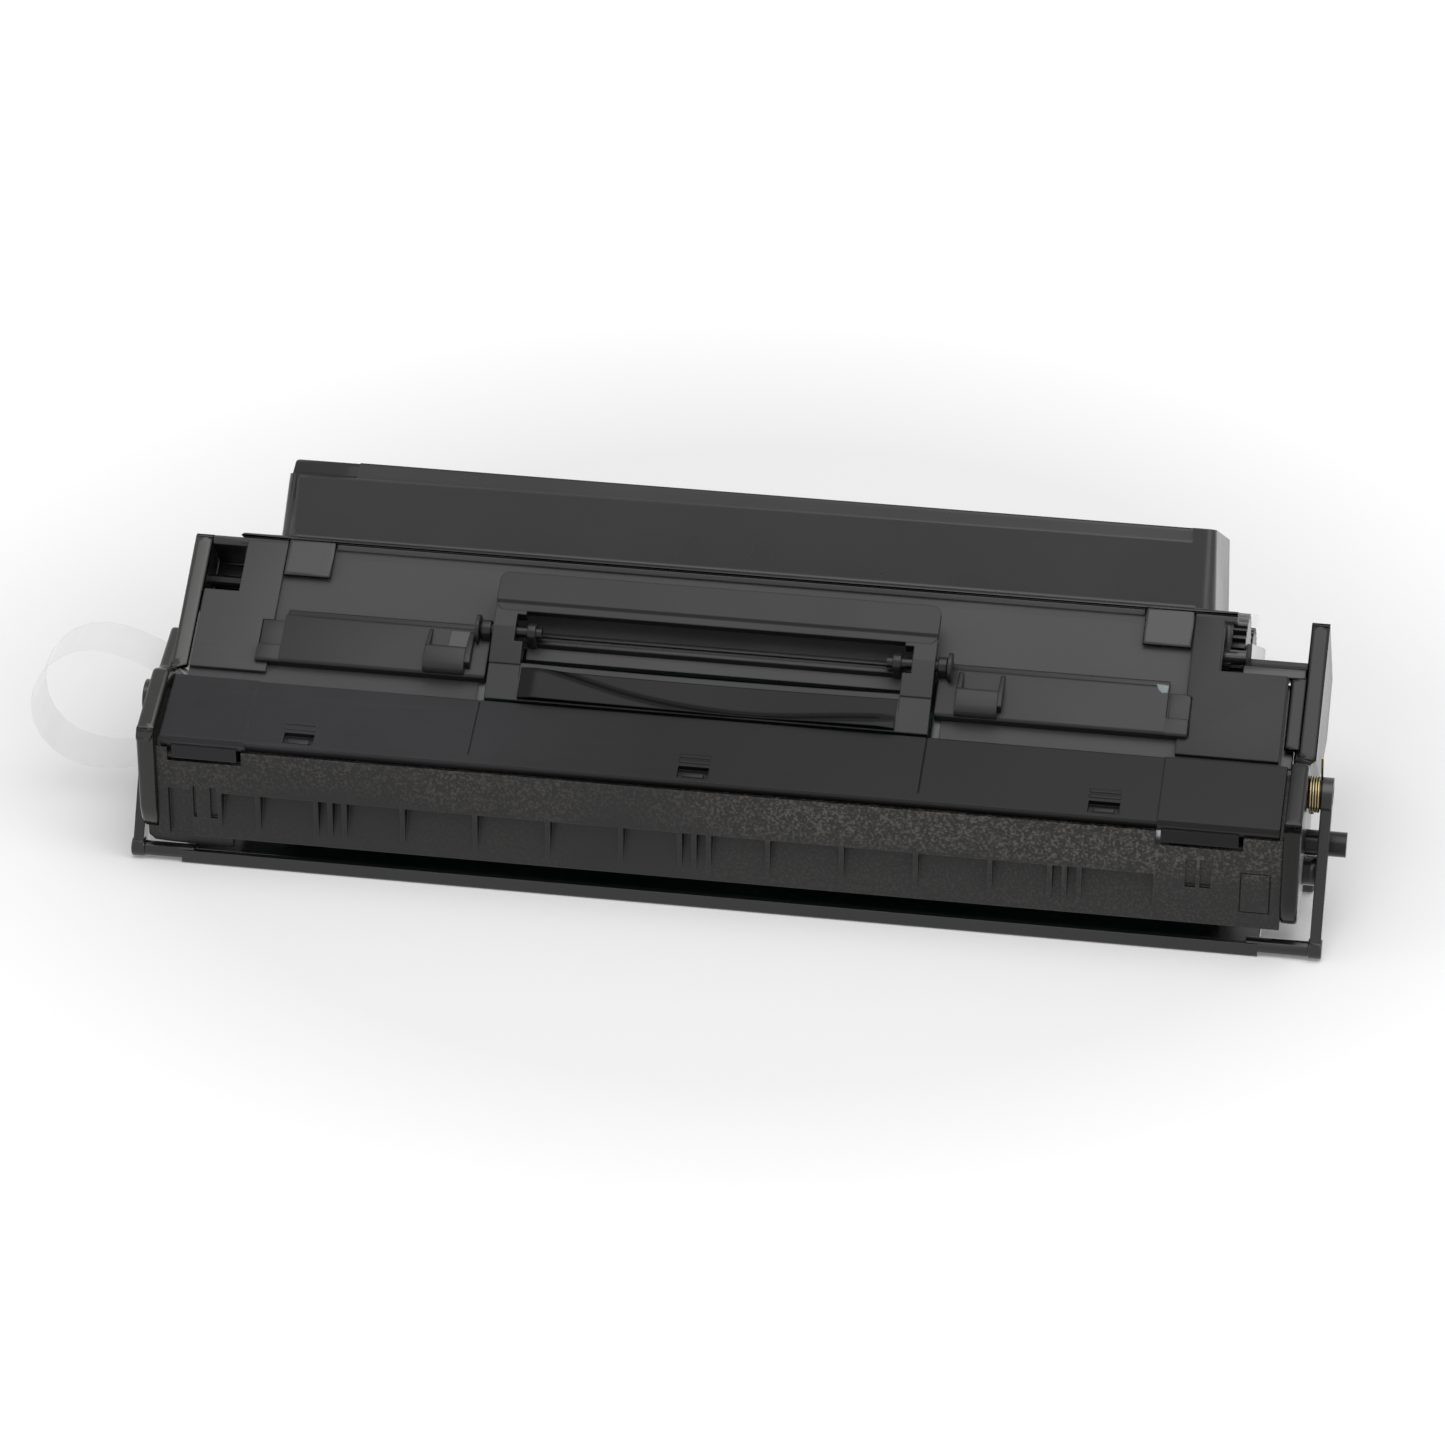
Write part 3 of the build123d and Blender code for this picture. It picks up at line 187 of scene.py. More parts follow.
def mouldedPlastic(name, tone, rough=0.42, grain=0.10, mottle=0.18, scuff=0.25, edge=0.5, speck=0.0, gloss=0.5,
                   paintedLightFade=None):
    material, tree = newMaterial(name)
    place = addNode(tree, "ShaderNodeTexCoord").outputs["Object"]
    rounded = addNode(tree, "ShaderNodeBevel", {"Radius": plasticLook["edgeRadius"] * mm}, samples=6)
    shape = addNode(tree, "ShaderNodeNewGeometry")
    facing = addNode(tree, "ShaderNodeVectorMath", {0: rounded.outputs[0], 1: shape.outputs["Normal"]},
                     operation="DOT_PRODUCT")
    edgeHighlightMask = addNode(tree, "ShaderNodeMapRange", {0: facing.outputs["Value"], 1: 0.995, 2: 0.86, 3: 0.0, 4: 1.0})
    patches = addNode(tree, "ShaderNodeTexNoise", {"Vector": place, "Scale": plasticLook["patches"], "Detail": 5.0,
                                                   "Roughness": 0.6})
    fine = addNode(tree, "ShaderNodeTexNoise", {"Vector": place, "Scale": plasticLook["grain"], "Detail": 2.0})
    along = addNode(tree, "ShaderNodeMapping", {"Vector": place, "Scale": plasticLook["streaks"]})
    streaks = addNode(tree, "ShaderNodeTexNoise", {"Vector": along.outputs[0], "Scale": 1.0, "Detail": 6.0,
                                                   "Roughness": 0.65})
    scratch = addNode(tree, "ShaderNodeMapRange", {0: streaks.outputs["Fac"], 1: 0.60, 2: 0.74, 3: 0.0, 4: scuff})
    dark = tuple(channel * (1 - mottle) for channel in tone[:3]) + (1.0,)
    pale = tuple(min(1.0, channel * (1 + mottle)) for channel in tone[:3]) + (1.0,)
    body = addNode(tree, "ShaderNodeMix", {0: patches.outputs["Fac"], 6: dark, 7: pale}, data_type="RGBA")
    # painted highlight: rounded edges are mixed towards a pale tone by edge, standing in for light caught on the edges;
    # the pale scratches are real scuffs
    scuffAndHighlightTone = tuple(min(1.0, channel * 2.2 + 0.02) for channel in tone[:3]) + (1.0,)
    share = product(tree, edgeHighlightMask.outputs[0], edge * 0.5)
    share = sumOf(tree, share, product(tree, scratch.outputs[0], 0.35))
    scuffAndHighlightMix = addNode(tree, "ShaderNodeMix", {0: share, 6: body.outputs[2], 7: scuffAndHighlightTone}, data_type="RGBA")
    colour = scuffAndHighlightMix.outputs[2]
    if paintedLightFade:
        # painted light: the colour is scaled from paler at the left end to darker towards the right, a gradient of
        # light painted into the plastic
        across = addNode(tree, "ShaderNodeSeparateXYZ", {0: place}).outputs[0]
        fade = addNode(tree, "ShaderNodeMapRange", {0: across, 1: plasticLook["paintedLightFrom"] * mm,
                                                    2: plasticLook["paintedLightTo"] * mm, 3: paintedLightFade[0], 4: paintedLightFade[1]})
        faded = addNode(tree, "ShaderNodeVectorMath", {0: colour, "Scale": fade.outputs[0]}, operation="SCALE")
        colour = faded.outputs[0]
    if speck > 0:
        # brown-grey dust that lies in clouds along the band under the cover
        clouds = addNode(tree, "ShaderNodeTexNoise", {"Vector": place, "Scale": dustLook["clouds"], "Detail": 4.0})
        cloud = addNode(tree, "ShaderNodeMapRange", {0: clouds.outputs["Fac"], 1: 0.36, 2: 0.62, 3: 0.0, 4: speck})
        dots = addNode(tree, "ShaderNodeTexNoise", {"Vector": place, "Scale": dustLook["dots"], "Detail": 4.0})
        grains = addNode(tree, "ShaderNodeMapRange", {0: dots.outputs["Fac"], 1: 0.46, 2: 0.66, 3: 0.0, 4: 1.0})
        height = addNode(tree, "ShaderNodeSeparateXYZ", {0: place}).outputs[2]
        low, high = dustLook["height"]
        band = addNode(tree, "ShaderNodeMapRange", {0: height, 1: low * mm, 2: high * mm, 3: dustLook["below"], 4: 1.0})
        dust = product(tree, product(tree, cloud.outputs[0], grains.outputs[0]), band.outputs[0])
        powder = addNode(tree, "ShaderNodeMix", {0: dust, 6: colour, 7: screenTone(*dustLook["tone"])},
                         data_type="RGBA")
        colour = powder.outputs[2]
    matt = addNode(tree, "ShaderNodeMapRange", {0: patches.outputs["Fac"], 1: 0.3, 2: 0.7,
                                                3: rough - 0.05, 4: rough + 0.06})
    sheen = sumOf(tree, matt.outputs[0], product(tree, scratch.outputs[0], 0.25))
    texture = addNode(tree, "ShaderNodeBump", {"Height": fine.outputs["Fac"], "Strength": grain,
                                               "Distance": 0.02 * mm, "Normal": rounded.outputs[0]})
    lines = addNode(tree, "ShaderNodeBump", {"Height": streaks.outputs["Fac"], "Strength": grain * 0.5,
                                             "Distance": 0.03 * mm, "Normal": texture.outputs[0]})
    surface = addNode(tree, "ShaderNodeBsdfPrincipled", {"Base Color": colour, "Roughness": sheen,
                                                         "Specular IOR Level": gloss, "Normal": lines.outputs[0]})
    addNode(tree, "ShaderNodeOutputMaterial", {"Surface": surface.outputs[0]})
    return material


# metal: drawn or ground, with fine lines along the part
def barMetal(name, tone, rough=0.28, lines=0.12, metallic=1.0):
    material, tree = newMaterial(name)
    place = addNode(tree, "ShaderNodeTexCoord").outputs["Object"]
    along = addNode(tree, "ShaderNodeMapping", {"Vector": place, "Scale": (2500.0, 60.0, 60.0)})
    grooves = addNode(tree, "ShaderNodeTexNoise", {"Vector": along.outputs[0], "Scale": 1.0, "Detail": 4.0})
    patches = addNode(tree, "ShaderNodeTexNoise", {"Vector": place, "Scale": 120.0, "Detail": 4.0})
    dull = tuple(channel * 0.75 for channel in tone[:3]) + (1.0,)
    body = addNode(tree, "ShaderNodeMix", {0: patches.outputs["Fac"], 6: dull, 7: tone}, data_type="RGBA")
    matt = addNode(tree, "ShaderNodeMapRange", {0: patches.outputs["Fac"], 1: 0.3, 2: 0.7,
                                                3: rough - 0.06, 4: rough + 0.08})
    bump = addNode(tree, "ShaderNodeBump", {"Height": grooves.outputs["Fac"], "Strength": lines,
                                            "Distance": 0.02 * mm})
    surface = addNode(tree, "ShaderNodeBsdfPrincipled", {"Base Color": body.outputs[2], "Metallic": metallic,
                                                         "Roughness": matt.outputs[0], "Normal": bump.outputs[0]})
    addNode(tree, "ShaderNodeOutputMaterial", {"Surface": surface.outputs[0]})
    return material


# rubber and foam of the rollers, and the blade
def softRubber(name, tone, rough=0.6, cell=900.0, depth=0.3):
    material, tree = newMaterial(name)
    place = addNode(tree, "ShaderNodeTexCoord").outputs["Object"]
    cells = addNode(tree, "ShaderNodeTexVoronoi", {"Vector": place, "Scale": cell})
    patches = addNode(tree, "ShaderNodeTexNoise", {"Vector": place, "Scale": 60.0, "Detail": 4.0})
    dark = tuple(channel * 0.7 for channel in tone[:3]) + (1.0,)
    body = addNode(tree, "ShaderNodeMix", {0: patches.outputs["Fac"], 6: dark, 7: tone}, data_type="RGBA")
    bump = addNode(tree, "ShaderNodeBump", {"Height": cells.outputs["Distance"], "Strength": depth,
                                            "Distance": 0.05 * mm})
    surface = addNode(tree, "ShaderNodeBsdfPrincipled", {"Base Color": body.outputs[2], "Roughness": rough,
                                                         "Normal": bump.outputs[0]})
    addNode(tree, "ShaderNodeOutputMaterial", {"Surface": surface.outputs[0]})
    return material


# clear film: mostly see-through, with a soft shine and a faint milky tint
def clearFilm(name, clearness=0.93):
    material, tree = newMaterial(name)
    place = addNode(tree, "ShaderNodeTexCoord").outputs["Object"]
    waves = addNode(tree, "ShaderNodeTexNoise", {"Vector": place, "Scale": 90.0, "Detail": 3.0})
    bump = addNode(tree, "ShaderNodeBump", {"Height": waves.outputs["Fac"], "Strength": 0.25, "Distance": 0.2 * mm})
    milk = addNode(tree, "ShaderNodeMapRange", {0: waves.outputs["Fac"], 3: 1.0 - clearness, 4: 1.06 - clearness})
    surface = addNode(tree, "ShaderNodeBsdfPrincipled", {"Base Color": screenTone(205, 206, 208), "Roughness": 0.12,
                                                         "Alpha": milk.outputs[0], "Normal": bump.outputs[0]})
    addNode(tree, "ShaderNodeOutputMaterial", {"Surface": surface.outputs[0]})
    return material


finishes = {
    "frame_plastic": mouldedPlastic("grainedFramePlastic", screenTone(60, 59, 60), rough=0.5, gloss=0.3),
    "hopper_plastic": mouldedPlastic("grainedHopperPlastic", screenTone(34, 33, 34), rough=0.3, mottle=0.3,
                                     gloss=0.42, scuff=0.1),
    "shield_plastic": mouldedPlastic("shieldPlastic", screenTone(32, 31, 32), rough=0.36, gloss=0.3),
    "handle_plastic": mouldedPlastic("handlePlastic", screenTone(22, 22, 22), rough=0.32, gloss=0.3),
    # the cover carries a painted light gradient, paler at its left end and darker towards the right
    "cover_plastic": mouldedPlastic("coverPlastic", screenTone(24, 23, 25), rough=0.33, mottle=0.5, gloss=0.22,
                                    paintedLightFade=(2.1, 0.55)),
    "wall_plastic": mouldedPlastic("frontWallPlastic", screenTone(18, 18, 18), rough=0.4, speck=0.5, gloss=0.4),
    "cap_plastic_left": mouldedPlastic("leftCapPlastic", screenTone(27, 26, 24), rough=0.22),
    "cap_plastic_right": mouldedPlastic("rightCapPlastic", screenTone(17, 16, 15), rough=0.26, gloss=0.3),
    "side_plastic": mouldedPlastic("gearCoverPlastic", screenTone(50, 50, 50), rough=0.16),
    "shutter_plastic": mouldedPlastic("shutterPlastic", screenTone(20, 20, 21), rough=0.22, grain=0.05),
    "arm_plastic": mouldedPlastic("armPlastic", screenTone(26, 25, 25), rough=0.25, grain=0.05),
    "inner_plastic": mouldedPlastic("paddlePlastic", screenTone(40, 40, 40)),
    "plug_plastic": mouldedPlastic("plugPlastic", screenTone(200, 199, 192), rough=0.5, edge=0.0),
    "gear_plastic": mouldedPlastic("gearPlastic", screenTone(24, 24, 24), rough=0.3, edge=0.3, scuff=0.1),
    "drum_coating": barMetal("drumCoating", screenTone(60, 150, 140), rough=0.12, lines=0.02, metallic=0.3),
    "roller_rubber": softRubber("rollerRubber", screenTone(38, 38, 38), rough=0.5, depth=0.05),
    "foam_rubber": softRubber("foamRubber", screenTone(48, 48, 48), rough=0.8, depth=0.6),
    "urethane": softRubber("bladeUrethane", screenTone(196, 168, 110), rough=0.4, depth=0.02),
    "steel": barMetal("groundSteel", screenTone(205, 205, 205), rough=0.22),
    "black_steel": barMetal("blackSteel", screenTone(38, 37, 38), rough=0.3, metallic=0.6),
    "zinc_steel": barMetal("zincSteel", screenTone(196, 198, 200), rough=0.35),
    "spring_steel": barMetal("springSteel", screenTone(168, 154, 118), rough=0.25),
    "film_clear": clearFilm("clearFilm"),
}

slotOf = {one["node"]: one["material_slot"] for one in frame["record"]["subparts"]}
for name, part in nodes.items():
    part.data.materials.clear()
    part.data.materials.append(finishes[slotOf[name]])
print("finishes are on", len(nodes), "nodes")


# frames of the sloped front and of the cover: run goes up the slope, height stands on it
slopeFrame = {"foot": (-59.2, 43.1), "angle": 32.3}
coverFrame = {"foot": (-82.9, 36.4), "angle": 21.3}
uprightFrame = {"foot": (0.0, 0.0), "angle": 0.0}


def inFrame(plane, x, run, height):
    turn = math.radians(plane["angle"])
    y = plane["foot"][0] + run * math.cos(turn) - height * math.sin(turn)
    z = plane["foot"][1] + run * math.sin(turn) + height * math.cos(turn)
    return (x * mm, y * mm, z * mm)


def addSolid(form, near, far):
    near = [form.verts.new(place) for place in near]
    far = [form.verts.new(place) for place in far]
    form.faces.new(near)
    form.faces.new(far[::-1])
    for k in range(len(near)):
        after = (k + 1) % len(near)
        form.faces.new((near[k], far[k], far[after], near[after]))


def addBar(form, plane, outline, x0, x1):
    addSolid(form, *([inFrame(plane, x, run, height) for run, height in outline] for x in (x0, x1)))


def addPlate(form, plane, outline, low, high):
    addSolid(form, *([inFrame(plane, x, run, height) for x, run in outline] for height in (low, high)))


def circle(centre, radius, sides):
    turns = [2 * math.pi * k / sides for k in range(sides)]
    return [(centre[0] + radius * math.cos(turn), centre[1] + radius * math.sin(turn)) for turn in turns]


def finishPiece(name, form, slot, body="cartridge", soft=0.3, material=None, steps=2):
    bmesh.ops.recalc_face_normals(form, faces=form.faces)
    if soft > 0:
        sharp = [edge for edge in form.edges if edge.calc_face_angle(0.0) > math.radians(25)]
        bmesh.ops.bevel(form, geom=sharp, offset=soft * mm, segments=steps, affect="EDGES", profile=0.6)
    mesh = bpy.data.meshes.new(name)
    form.to_mesh(mesh)
    form.free()
    mesh.shade_smooth()
    mesh.set_sharp_from_angle(angle=math.radians(35))
    mesh.materials.append(material or finishes[slot])
    piece = bpy.data.objects.new(name, mesh)
    scene.collection.objects.link(piece)
    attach(piece, body)
    return piece


# mouldings with rounded edges: the shape of the node, its long outer edges softened
rounding = {
    "left_end_cap": {"soft": 1.1, "from": 3.0, "steps": 3},
    "right_end_cap": {"soft": 1.1, "from": 3.0, "steps": 3},
    "hopper_lid": {"soft": 0.9, "from": 7.5, "steps": 3},
    "shutter_arm_left": {"soft": 0.5, "from": 2.0, "steps": 2},
    "shutter_arm_right": {"soft": 0.5, "from": 2.0, "steps": 2},
}
bodyOf = {"shutter_arm_left": "shutter_arms", "shutter_arm_right": "shutter_arms"}
# left wall of the lid goes outwards and its top upwards; heights stand on the flange
lidStretch = {"flange": (-0.0285, 0.065), "angle": 31.0, "between": (-0.12, -0.09), "wallFrom": -0.1, "shift": -3.4,
              "topFrom": 4.0, "lift": 1.4}


def aboveFlange(place):
    turn = math.radians(lidStretch["angle"])
    flangeY, flangeZ = lidStretch["flange"]
    return (place.y - flangeY) * math.sin(turn) + (place.z - flangeZ) * math.cos(turn)


def stretchLid(form, settings):
    left, right = settings["between"]
    for vert in form.verts:
        if left < vert.co.x < right and aboveFlange(vert.co) > settings["wallFrom"] * mm:
            vert.co.x += settings["shift"] * mm
        if aboveFlange(vert.co) > settings["topFrom"] * mm:
            vert.co.z += settings["lift"] * mm


def softenNode(name, settings):
    form = bmesh.new()
    form.from_mesh(nodes[name].data)
    bmesh.ops.remove_doubles(form, verts=form.verts, dist=0.001 * mm)
    bmesh.ops.dissolve_limit(form, angle_limit=math.radians(1.0), verts=form.verts, edges=form.edges)
    if name == "hopper_lid":
        stretchLid(form, lidStretch)
    sharp = [edge for edge in form.edges if len(edge.link_faces) == 2
             and edge.calc_face_angle(0.0) > math.radians(28) and edge.calc_length() > settings["from"] * mm]
    bmesh.ops.bevel(form, geom=sharp, offset=settings["soft"] * mm, segments=settings["steps"], affect="EDGES",
                    profile=0.55, clamp_overlap=False)
    piece = finishPiece(name + "Shell", form, slotOf[name], body=bodyOf.get(name, "cartridge"), soft=0.0)
    evened = piece.modifiers.new("evenFaces", "WEIGHTED_NORMAL")
    evened.keep_sharp = True
    evened.weight = 100
    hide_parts(name)


for name, settings in rounding.items():
    softenNode(name, settings)
print("rounded mouldings are built")


# raised parts of the sloped front beside its middle field, the right one darker
raisedField = {
    "left": ((-135.5, -0.4), (-116.2, -0.4), (-116.2, 2.4), (-119.3, 2.4), (-119.3, 14.2), (-116.5, 14.2),
             (-116.5, 36.8), (-126.8, 36.8), (-126.8, 21.5), (-135.5, 21.5)),
    "right": ((110.2, -2.2), (135.5, -2.2), (135.5, 21.5), (118.8, 21.5), (118.8, 36.8), (111.5, 36.8),
              (111.5, 14.0), (112.9, 13.6), (112.9, 2.4), (110.2, 2.4)),
    "low": -0.4, "high": 1.25,
}
fieldTones = {"left": finishes["frame_plastic"],
              "right": mouldedPlastic("darkFieldPlastic", screenTone(34, 33, 34), rough=0.42, gloss=0.25)}
for side in ("left", "right"):
    form = bmesh.new()
    addPlate(form, slopeFrame, raisedField[side], raisedField["low"], raisedField["high"])
    finishPiece(side + "RaisedField", form, "frame_plastic", soft=0.25, material=fieldTones[side])
print("raised fields are on the slope")


# ledge across the slope, its end blocks, the hooks, the rail and the lugs of the handle
ledge = {
    "section": ((2.1, -0.3), (2.1, 2.3), (2.7, 2.8), (14.8, 3.0), (15.4, 2.5), (15.6, 1.3), (17.2, 1.2), (17.7, 0.7),
                (17.7, -0.3)),
    "foot": ((2.1, -0.3), (2.1, 2.2), (2.6, 2.6), (6.6, 2.7), (6.9, 2.3), (6.9, -0.3)),
    "shelf": ((6.7, -0.3), (6.7, 0.9), (14.3, 1.1), (14.3, -0.3)),
    "spans": ((-113.2, -61.0), (50.7, 107.2)),
    "feet": ((-119.2, -112.9), (106.9, 112.7)),
}
form = bmesh.new()
for x0, x1 in ledge["spans"]:
    addBar(form, slopeFrame, ledge["section"], x0, x1)
for x0, x1 in ledge["feet"]:
    addBar(form, slopeFrame, ledge["foot"], x0, x1)
    addBar(form, slopeFrame, ledge["shelf"], x0, x1)
ledgePiece = finishPiece("slopeLedge", form, "shield_plastic", soft=0.28)

hook = {
    "bar": ((2.4, 2.2), (1.9, 4.0), (2.6, 5.2), (4.2, 5.9), (8.2, 6.1), (8.8, 5.6), (8.6, 5.0), (4.9, 4.7), (4.2, 4.0),
            (4.2, 2.2)),
    "arm": ((4.0, 2.5), (4.6, 5.4), (8.4, 5.6), (13.9, 3.6), (14.6, 2.7)),
    "bars": ((-76.6, -66.2), (55.7, 66.2)),
    "arms": ((-66.4, -64.9), (-76.6, -75.6), (66.0, 67.2), (55.7, 57.0)),
    "paintedShadeOutline": ((-71.6, 9.0), (-66.6, 9.0), (-63.2, 14.4), (-71.2, 14.4)),
    "paintedShadeDepth": (2.5, 3.04),
}
form = bmesh.new()
for x0, x1 in hook["bars"]:
    addBar(form, slopeFrame, hook["bar"], x0, x1)
for x0, x1 in hook["arms"]:
    addBar(form, slopeFrame, hook["arm"], x0, x1)
finishPiece("ledgeHooks", form, "shield_plastic", soft=0.35, steps=3)
# painted shadow: a dark plate laid over the ledge in the opening of the left hook stands in for the shadow in that hole
form = bmesh.new()
addPlate(form, slopeFrame, hook["paintedShadeOutline"], *hook["paintedShadeDepth"])
finishPiece("hookPaintedShade", form, "gear_plastic", soft=0.0)

railLook = {
    "section": ((12.8, -0.2), (13.3, 1.6), (14.5, 1.6), (15.0, -0.2)),
    "span": (-52.1, 41.8),
    "shelf": ((15.8, -0.2), (15.8, 0.7), (17.0, 0.7), (17.0, -0.2)),
}
form = bmesh.new()
addBar(form, slopeFrame, railLook["section"], *railLook["span"])
addBar(form, slopeFrame, railLook["shelf"], *railLook["span"])
finishPiece("handleRail", form, "shield_plastic", soft=0.2)

lugLook = {
    "outline": ((12.6, -0.2), (12.3, 4.0), (12.9, 5.8), (14.1, 6.8), (15.5, 6.8), (16.7, 5.8), (17.3, 4.0),
                (17.3, -0.2)),
    "spans": ((-63.4, -60.8), (-51.8, -49.6), (39.3, 41.5), (50.5, 52.9)),
}
form = bmesh.new()
for x0, x1 in lugLook["spans"]:
    addBar(form, slopeFrame, lugLook["outline"], x0, x1)
finishPiece("handleLugs", form, "shield_plastic", soft=0.4, steps=3)
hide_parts("light_shield")
print("ledge, hooks, rail and lugs are built")


# finger scoop of the handle: a sheet with a long curved crease
scoop = {"x": (-51.9, 41.7), "run": (-3.3, 5.0), "cells": (90, 16), "middle": -5.15, "radius": 1450.0, "floor": 3.2,
         "cover": 0.05, "rise": 1.25, "width": 3.2, "ends": 4.0, "endRise": 0.35, "under": 2.6}
crease = {"run": -3.4, "fall": 9.5, "from": -52.0, "reach": 27.0, "bend": 1.6, "lift": 2.6, "liftFrom": 2.0,
          "liftReach": 38.0}


def smoothStep(share):
    share = max(0.0, min(1.0, share))
    return share * share * (3 - 2 * share)


def creaseRun(x):
    fall = crease["fall"] * math.exp(-max(0.0, (x - crease["from"]) / crease["reach"]) ** crease["bend"])
    return crease["run"] + fall + crease["lift"] * smoothStep((x - crease["liftFrom"]) / crease["liftReach"])


def scoopHeight(x, run):
    low = scoop["floor"] + (x - scoop["middle"]) ** 2 / (2 * scoop["radius"])
    step = smoothStep((creaseRun(x) - run) / scoop["width"] + 0.5)
    side = min(1.0, (x - scoop["x"][0]) / scoop["ends"], (scoop["x"][1] - x) / scoop["ends"])
    return low + scoop["cover"] + scoop["rise"] * step * (scoop["endRise"] + (1 - scoop["endRise"]) * side)


form = bmesh.new()
columns, rows = scoop["cells"]
top, under = [], []
for i in range(columns + 1):
    x = scoop["x"][0] + (scoop["x"][1] - scoop["x"][0]) * i / columns
    for j in range(rows + 1):
        run = scoop["run"][0] + (scoop["run"][1] - scoop["run"][0]) * j / rows
        top.append(form.verts.new(inFrame(slopeFrame, x, run, scoopHeight(x, run))))
        under.append(form.verts.new(inFrame(slopeFrame, x, run, scoop["under"])))
for i in range(columns):
    for j in range(rows):
        k = i * (rows + 1) + j
        corners = (k, k + 1, k + rows + 2, k + rows + 1)
        form.faces.new([top[c] for c in corners])
        form.faces.new([under[c] for c in corners[::-1]])
border = [i * (rows + 1) for i in range(columns + 1)]
border += [columns * (rows + 1) + j for j in range(1, rows + 1)]
border += [i * (rows + 1) + rows for i in range(columns - 1, -1, -1)]
border += [j for j in range(rows - 1, 0, -1)]
for k, first in enumerate(border):
    second = border[(k + 1) % len(border)]
    form.faces.new((top[first], under[first], under[second], top[second]))
# painted shade: the scoop sheet is near-black, standing in for the shade in the dented panel; its low roughness is its
# polish
scoopShadeTone = mouldedPlastic("polishedScoopPaintedShade", screenTone(5, 5, 6), rough=0.24, edge=0.2, gloss=0.15)
finishPiece("handleScoop", form, "handle_plastic", body="handle", soft=0.0, material=scoopShadeTone)


# a pale chip at the right corner of the ledge
chip = {"outline": ((103.9, 15.6), (104.6, 13.9), (105.6, 13.0), (107.0, 13.3), (107.1, 15.4)), "low": 2.6, "high": 3.1}
form = bmesh.new()
addPlate(form, slopeFrame, chip["outline"], chip["low"], chip["high"])
chipTone = mouldedPlastic("paleChip", screenTone(104, 114, 116), rough=0.3, grain=0.3, mottle=0.3, edge=0.6)
finishPiece("ledgeChip", form, "shield_plastic", soft=0.2, material=chipTone)


# washers that hold the pins of the handle
washer = {"centre": (14.8, 4.4), "radius": 3.5, "spans": ((53.0, 54.0), (-64.6, -63.7)), "sides": 40}
form = bmesh.new()
for x0, x1 in washer["spans"]:
    addBar(form, slopeFrame, circle(washer["centre"], washer["radius"], washer["sides"]), x0, x1)
finishPiece("pinWashers", form, "shield_plastic", soft=0.25)


# walls behind the notches at both ends of the slope, and cheeks of the handle bay
pocketWalls = {
    "leftBack": (((34.8, -11.0), (34.8, 0.2), (36.4, 0.9), (37.2, 0.4), (37.2, -11.0)), (-136.0, -126.5)),
    "leftFloor": (((21.0, -11.0), (21.0, -9.6), (35.2, -9.6), (35.2, -11.0)), (-136.0, -128.4)),
    "rightGap": (((-2.0, -3.2), (-2.0, -2.4), (21.0, -2.4), (21.0, -3.2)), (133.0, 138.7)),
    "rightBar": (((21.6, -3.0), (21.6, 0.2), (24.2, 0.0), (24.2, -3.0)), (124.4, 139.9)),
    "bayLeft": (((-3.2, -1.4), (-3.2, -0.1), (12.4, -0.1), (12.4, -1.4)), (-63.2, -60.5)),
    "bayRight": (((-3.2, -1.4), (-3.2, -0.1), (12.4, -0.1), (12.4, -1.4)), (50.2, 52.9)),
}
form = bmesh.new()
for outline, (x0, x1) in pocketWalls.values():
    addBar(form, slopeFrame, outline, x0, x1)
finishPiece("notchWalls", form, "gear_plastic", soft=0.3)
print("notch walls and washers are built")


# lower corner of the front wall at the left, down to the shutter
apron = {"outline": ((-142.6, 12.0), (-121.0, 12.0), (-121.0, 4.5), (-127.0, 4.5), (-136.0, 4.7), (-141.0, 5.0),
                     (-142.6, 6.4)), "front": -80.6, "back": -79.4}
form = bmesh.new()
addSolid(form, *([(x * mm, apron[side] * mm, z * mm) for x, z in apron["outline"]] for side in ("front", "back")))
finishPiece("wallApron", form, "wall_plastic", soft=0.25)


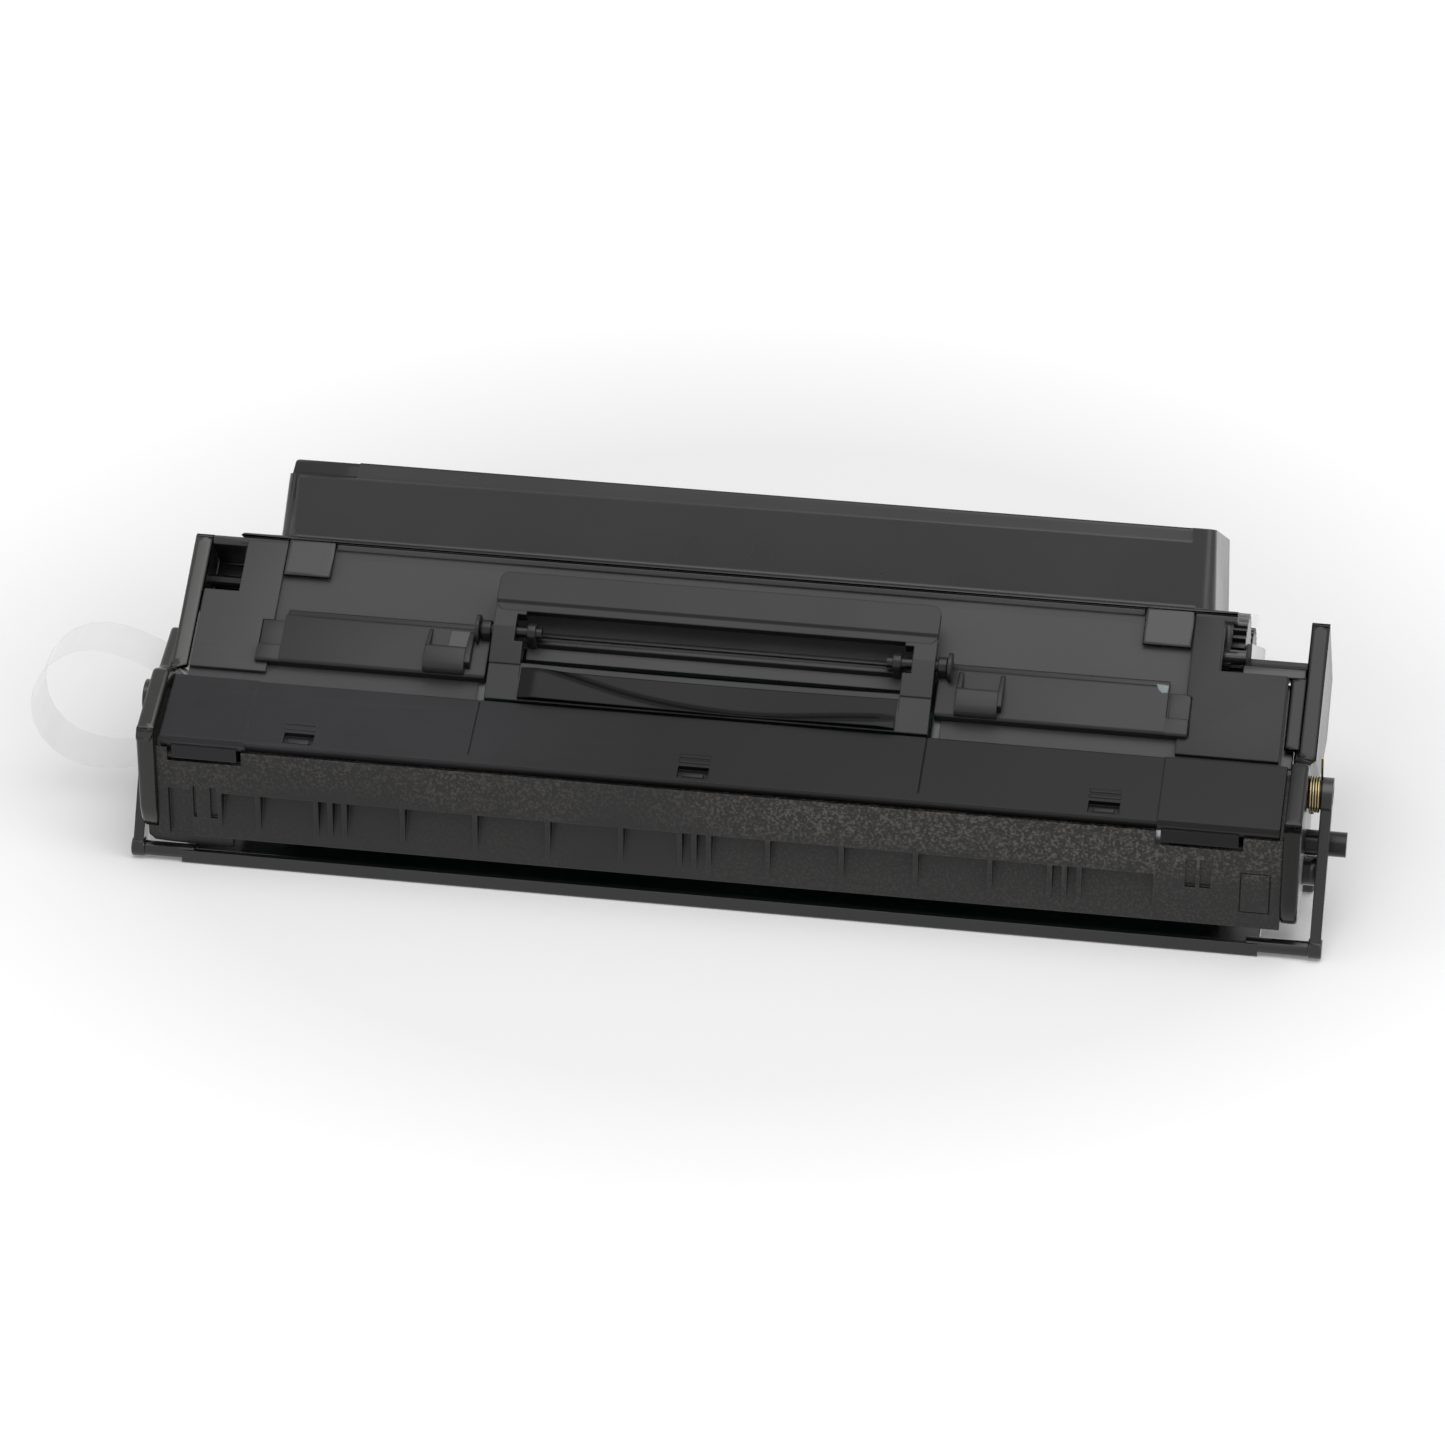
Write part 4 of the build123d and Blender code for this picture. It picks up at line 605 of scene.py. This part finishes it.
# round knobs where the arms hold the foot bar of the shutter
knob = {"centre": (-80.6, 2.55), "radius": 2.5, "sides": 36, "wide": 0.35}
for side in ("left", "right"):
    box = [corner[0] / mm for corner in nodes["shutter_arm_" + side].bound_box]
    form = bmesh.new()
    addBar(form, uprightFrame, circle(knob["centre"], knob["radius"], knob["sides"]), min(box) - knob["wide"],
           max(box) + knob["wide"])
    finishPiece(side + "FootKnob", form, "arm_plastic", body="shutter_arms", soft=0.5, steps=3)


# plates inside the three snap windows of the cover
snapPlate = {"places": (-103.5, -5.3, 95.1), "half": 2.6,
             "section": ((1.7, -1.3), (1.7, -0.5), (3.0, -0.4), (3.0, -1.3))}
form = bmesh.new()
for middle in snapPlate["places"]:
    addBar(form, coverFrame, snapPlate["section"], middle - snapPlate["half"], middle + snapPlate["half"])
finishPiece("snapPlates", form, "cover_plastic", soft=0.12)


# torsion spring of the shutter, wound round the right pivot
springCoil = {"axis": (-62.0, 35.0), "radius": 4.2, "wire": 0.3, "turns": 4, "pitch": 0.64, "start": 143.48,
              "turn": 20.0, "legs": (3.0, 9.0), "points": 28, "roundness": 3}


def coilPoint(settings, share):
    turn = math.radians(settings["turn"] + 360 * share)
    return (settings["start"] + settings["pitch"] * share, settings["axis"][0] + settings["radius"] * math.cos(turn),
            settings["axis"][1] + settings["radius"] * math.sin(turn))


def addSpring(settings):
    along = math.radians(settings["turn"])
    leg = (math.sin(along), -math.cos(along))
    x, y, z = coilPoint(settings, 0)
    first, last = settings["legs"]
    points = [(x, y + leg[0] * first, z + leg[1] * first)]
    count = settings["turns"] * settings["points"]
    points += [coilPoint(settings, k / settings["points"]) for k in range(count + 1)]
    x, y, z = points[-1]
    points.append((x, y - leg[0] * last, z - leg[1] * last))
    curve = bpy.data.curves.new("shutterSpringCoil", "CURVE")
    curve.dimensions = "3D"
    curve.bevel_depth = settings["wire"] * mm
    curve.bevel_resolution = settings["roundness"]
    curve.use_fill_caps = True
    line = curve.splines.new("POLY")
    line.points.add(len(points) - 1)
    for point, place in zip(line.points, points):
        point.co = tuple(value * mm for value in place) + (1.0,)
    curve.materials.append(finishes["spring_steel"])
    coil = bpy.data.objects.new("shutterSpringCoil", curve)
    scene.collection.objects.link(coil)
    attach(coil, "cartridge")
    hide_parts("shutter_spring")


addSpring(springCoil)
print("spring and snap plates are built")
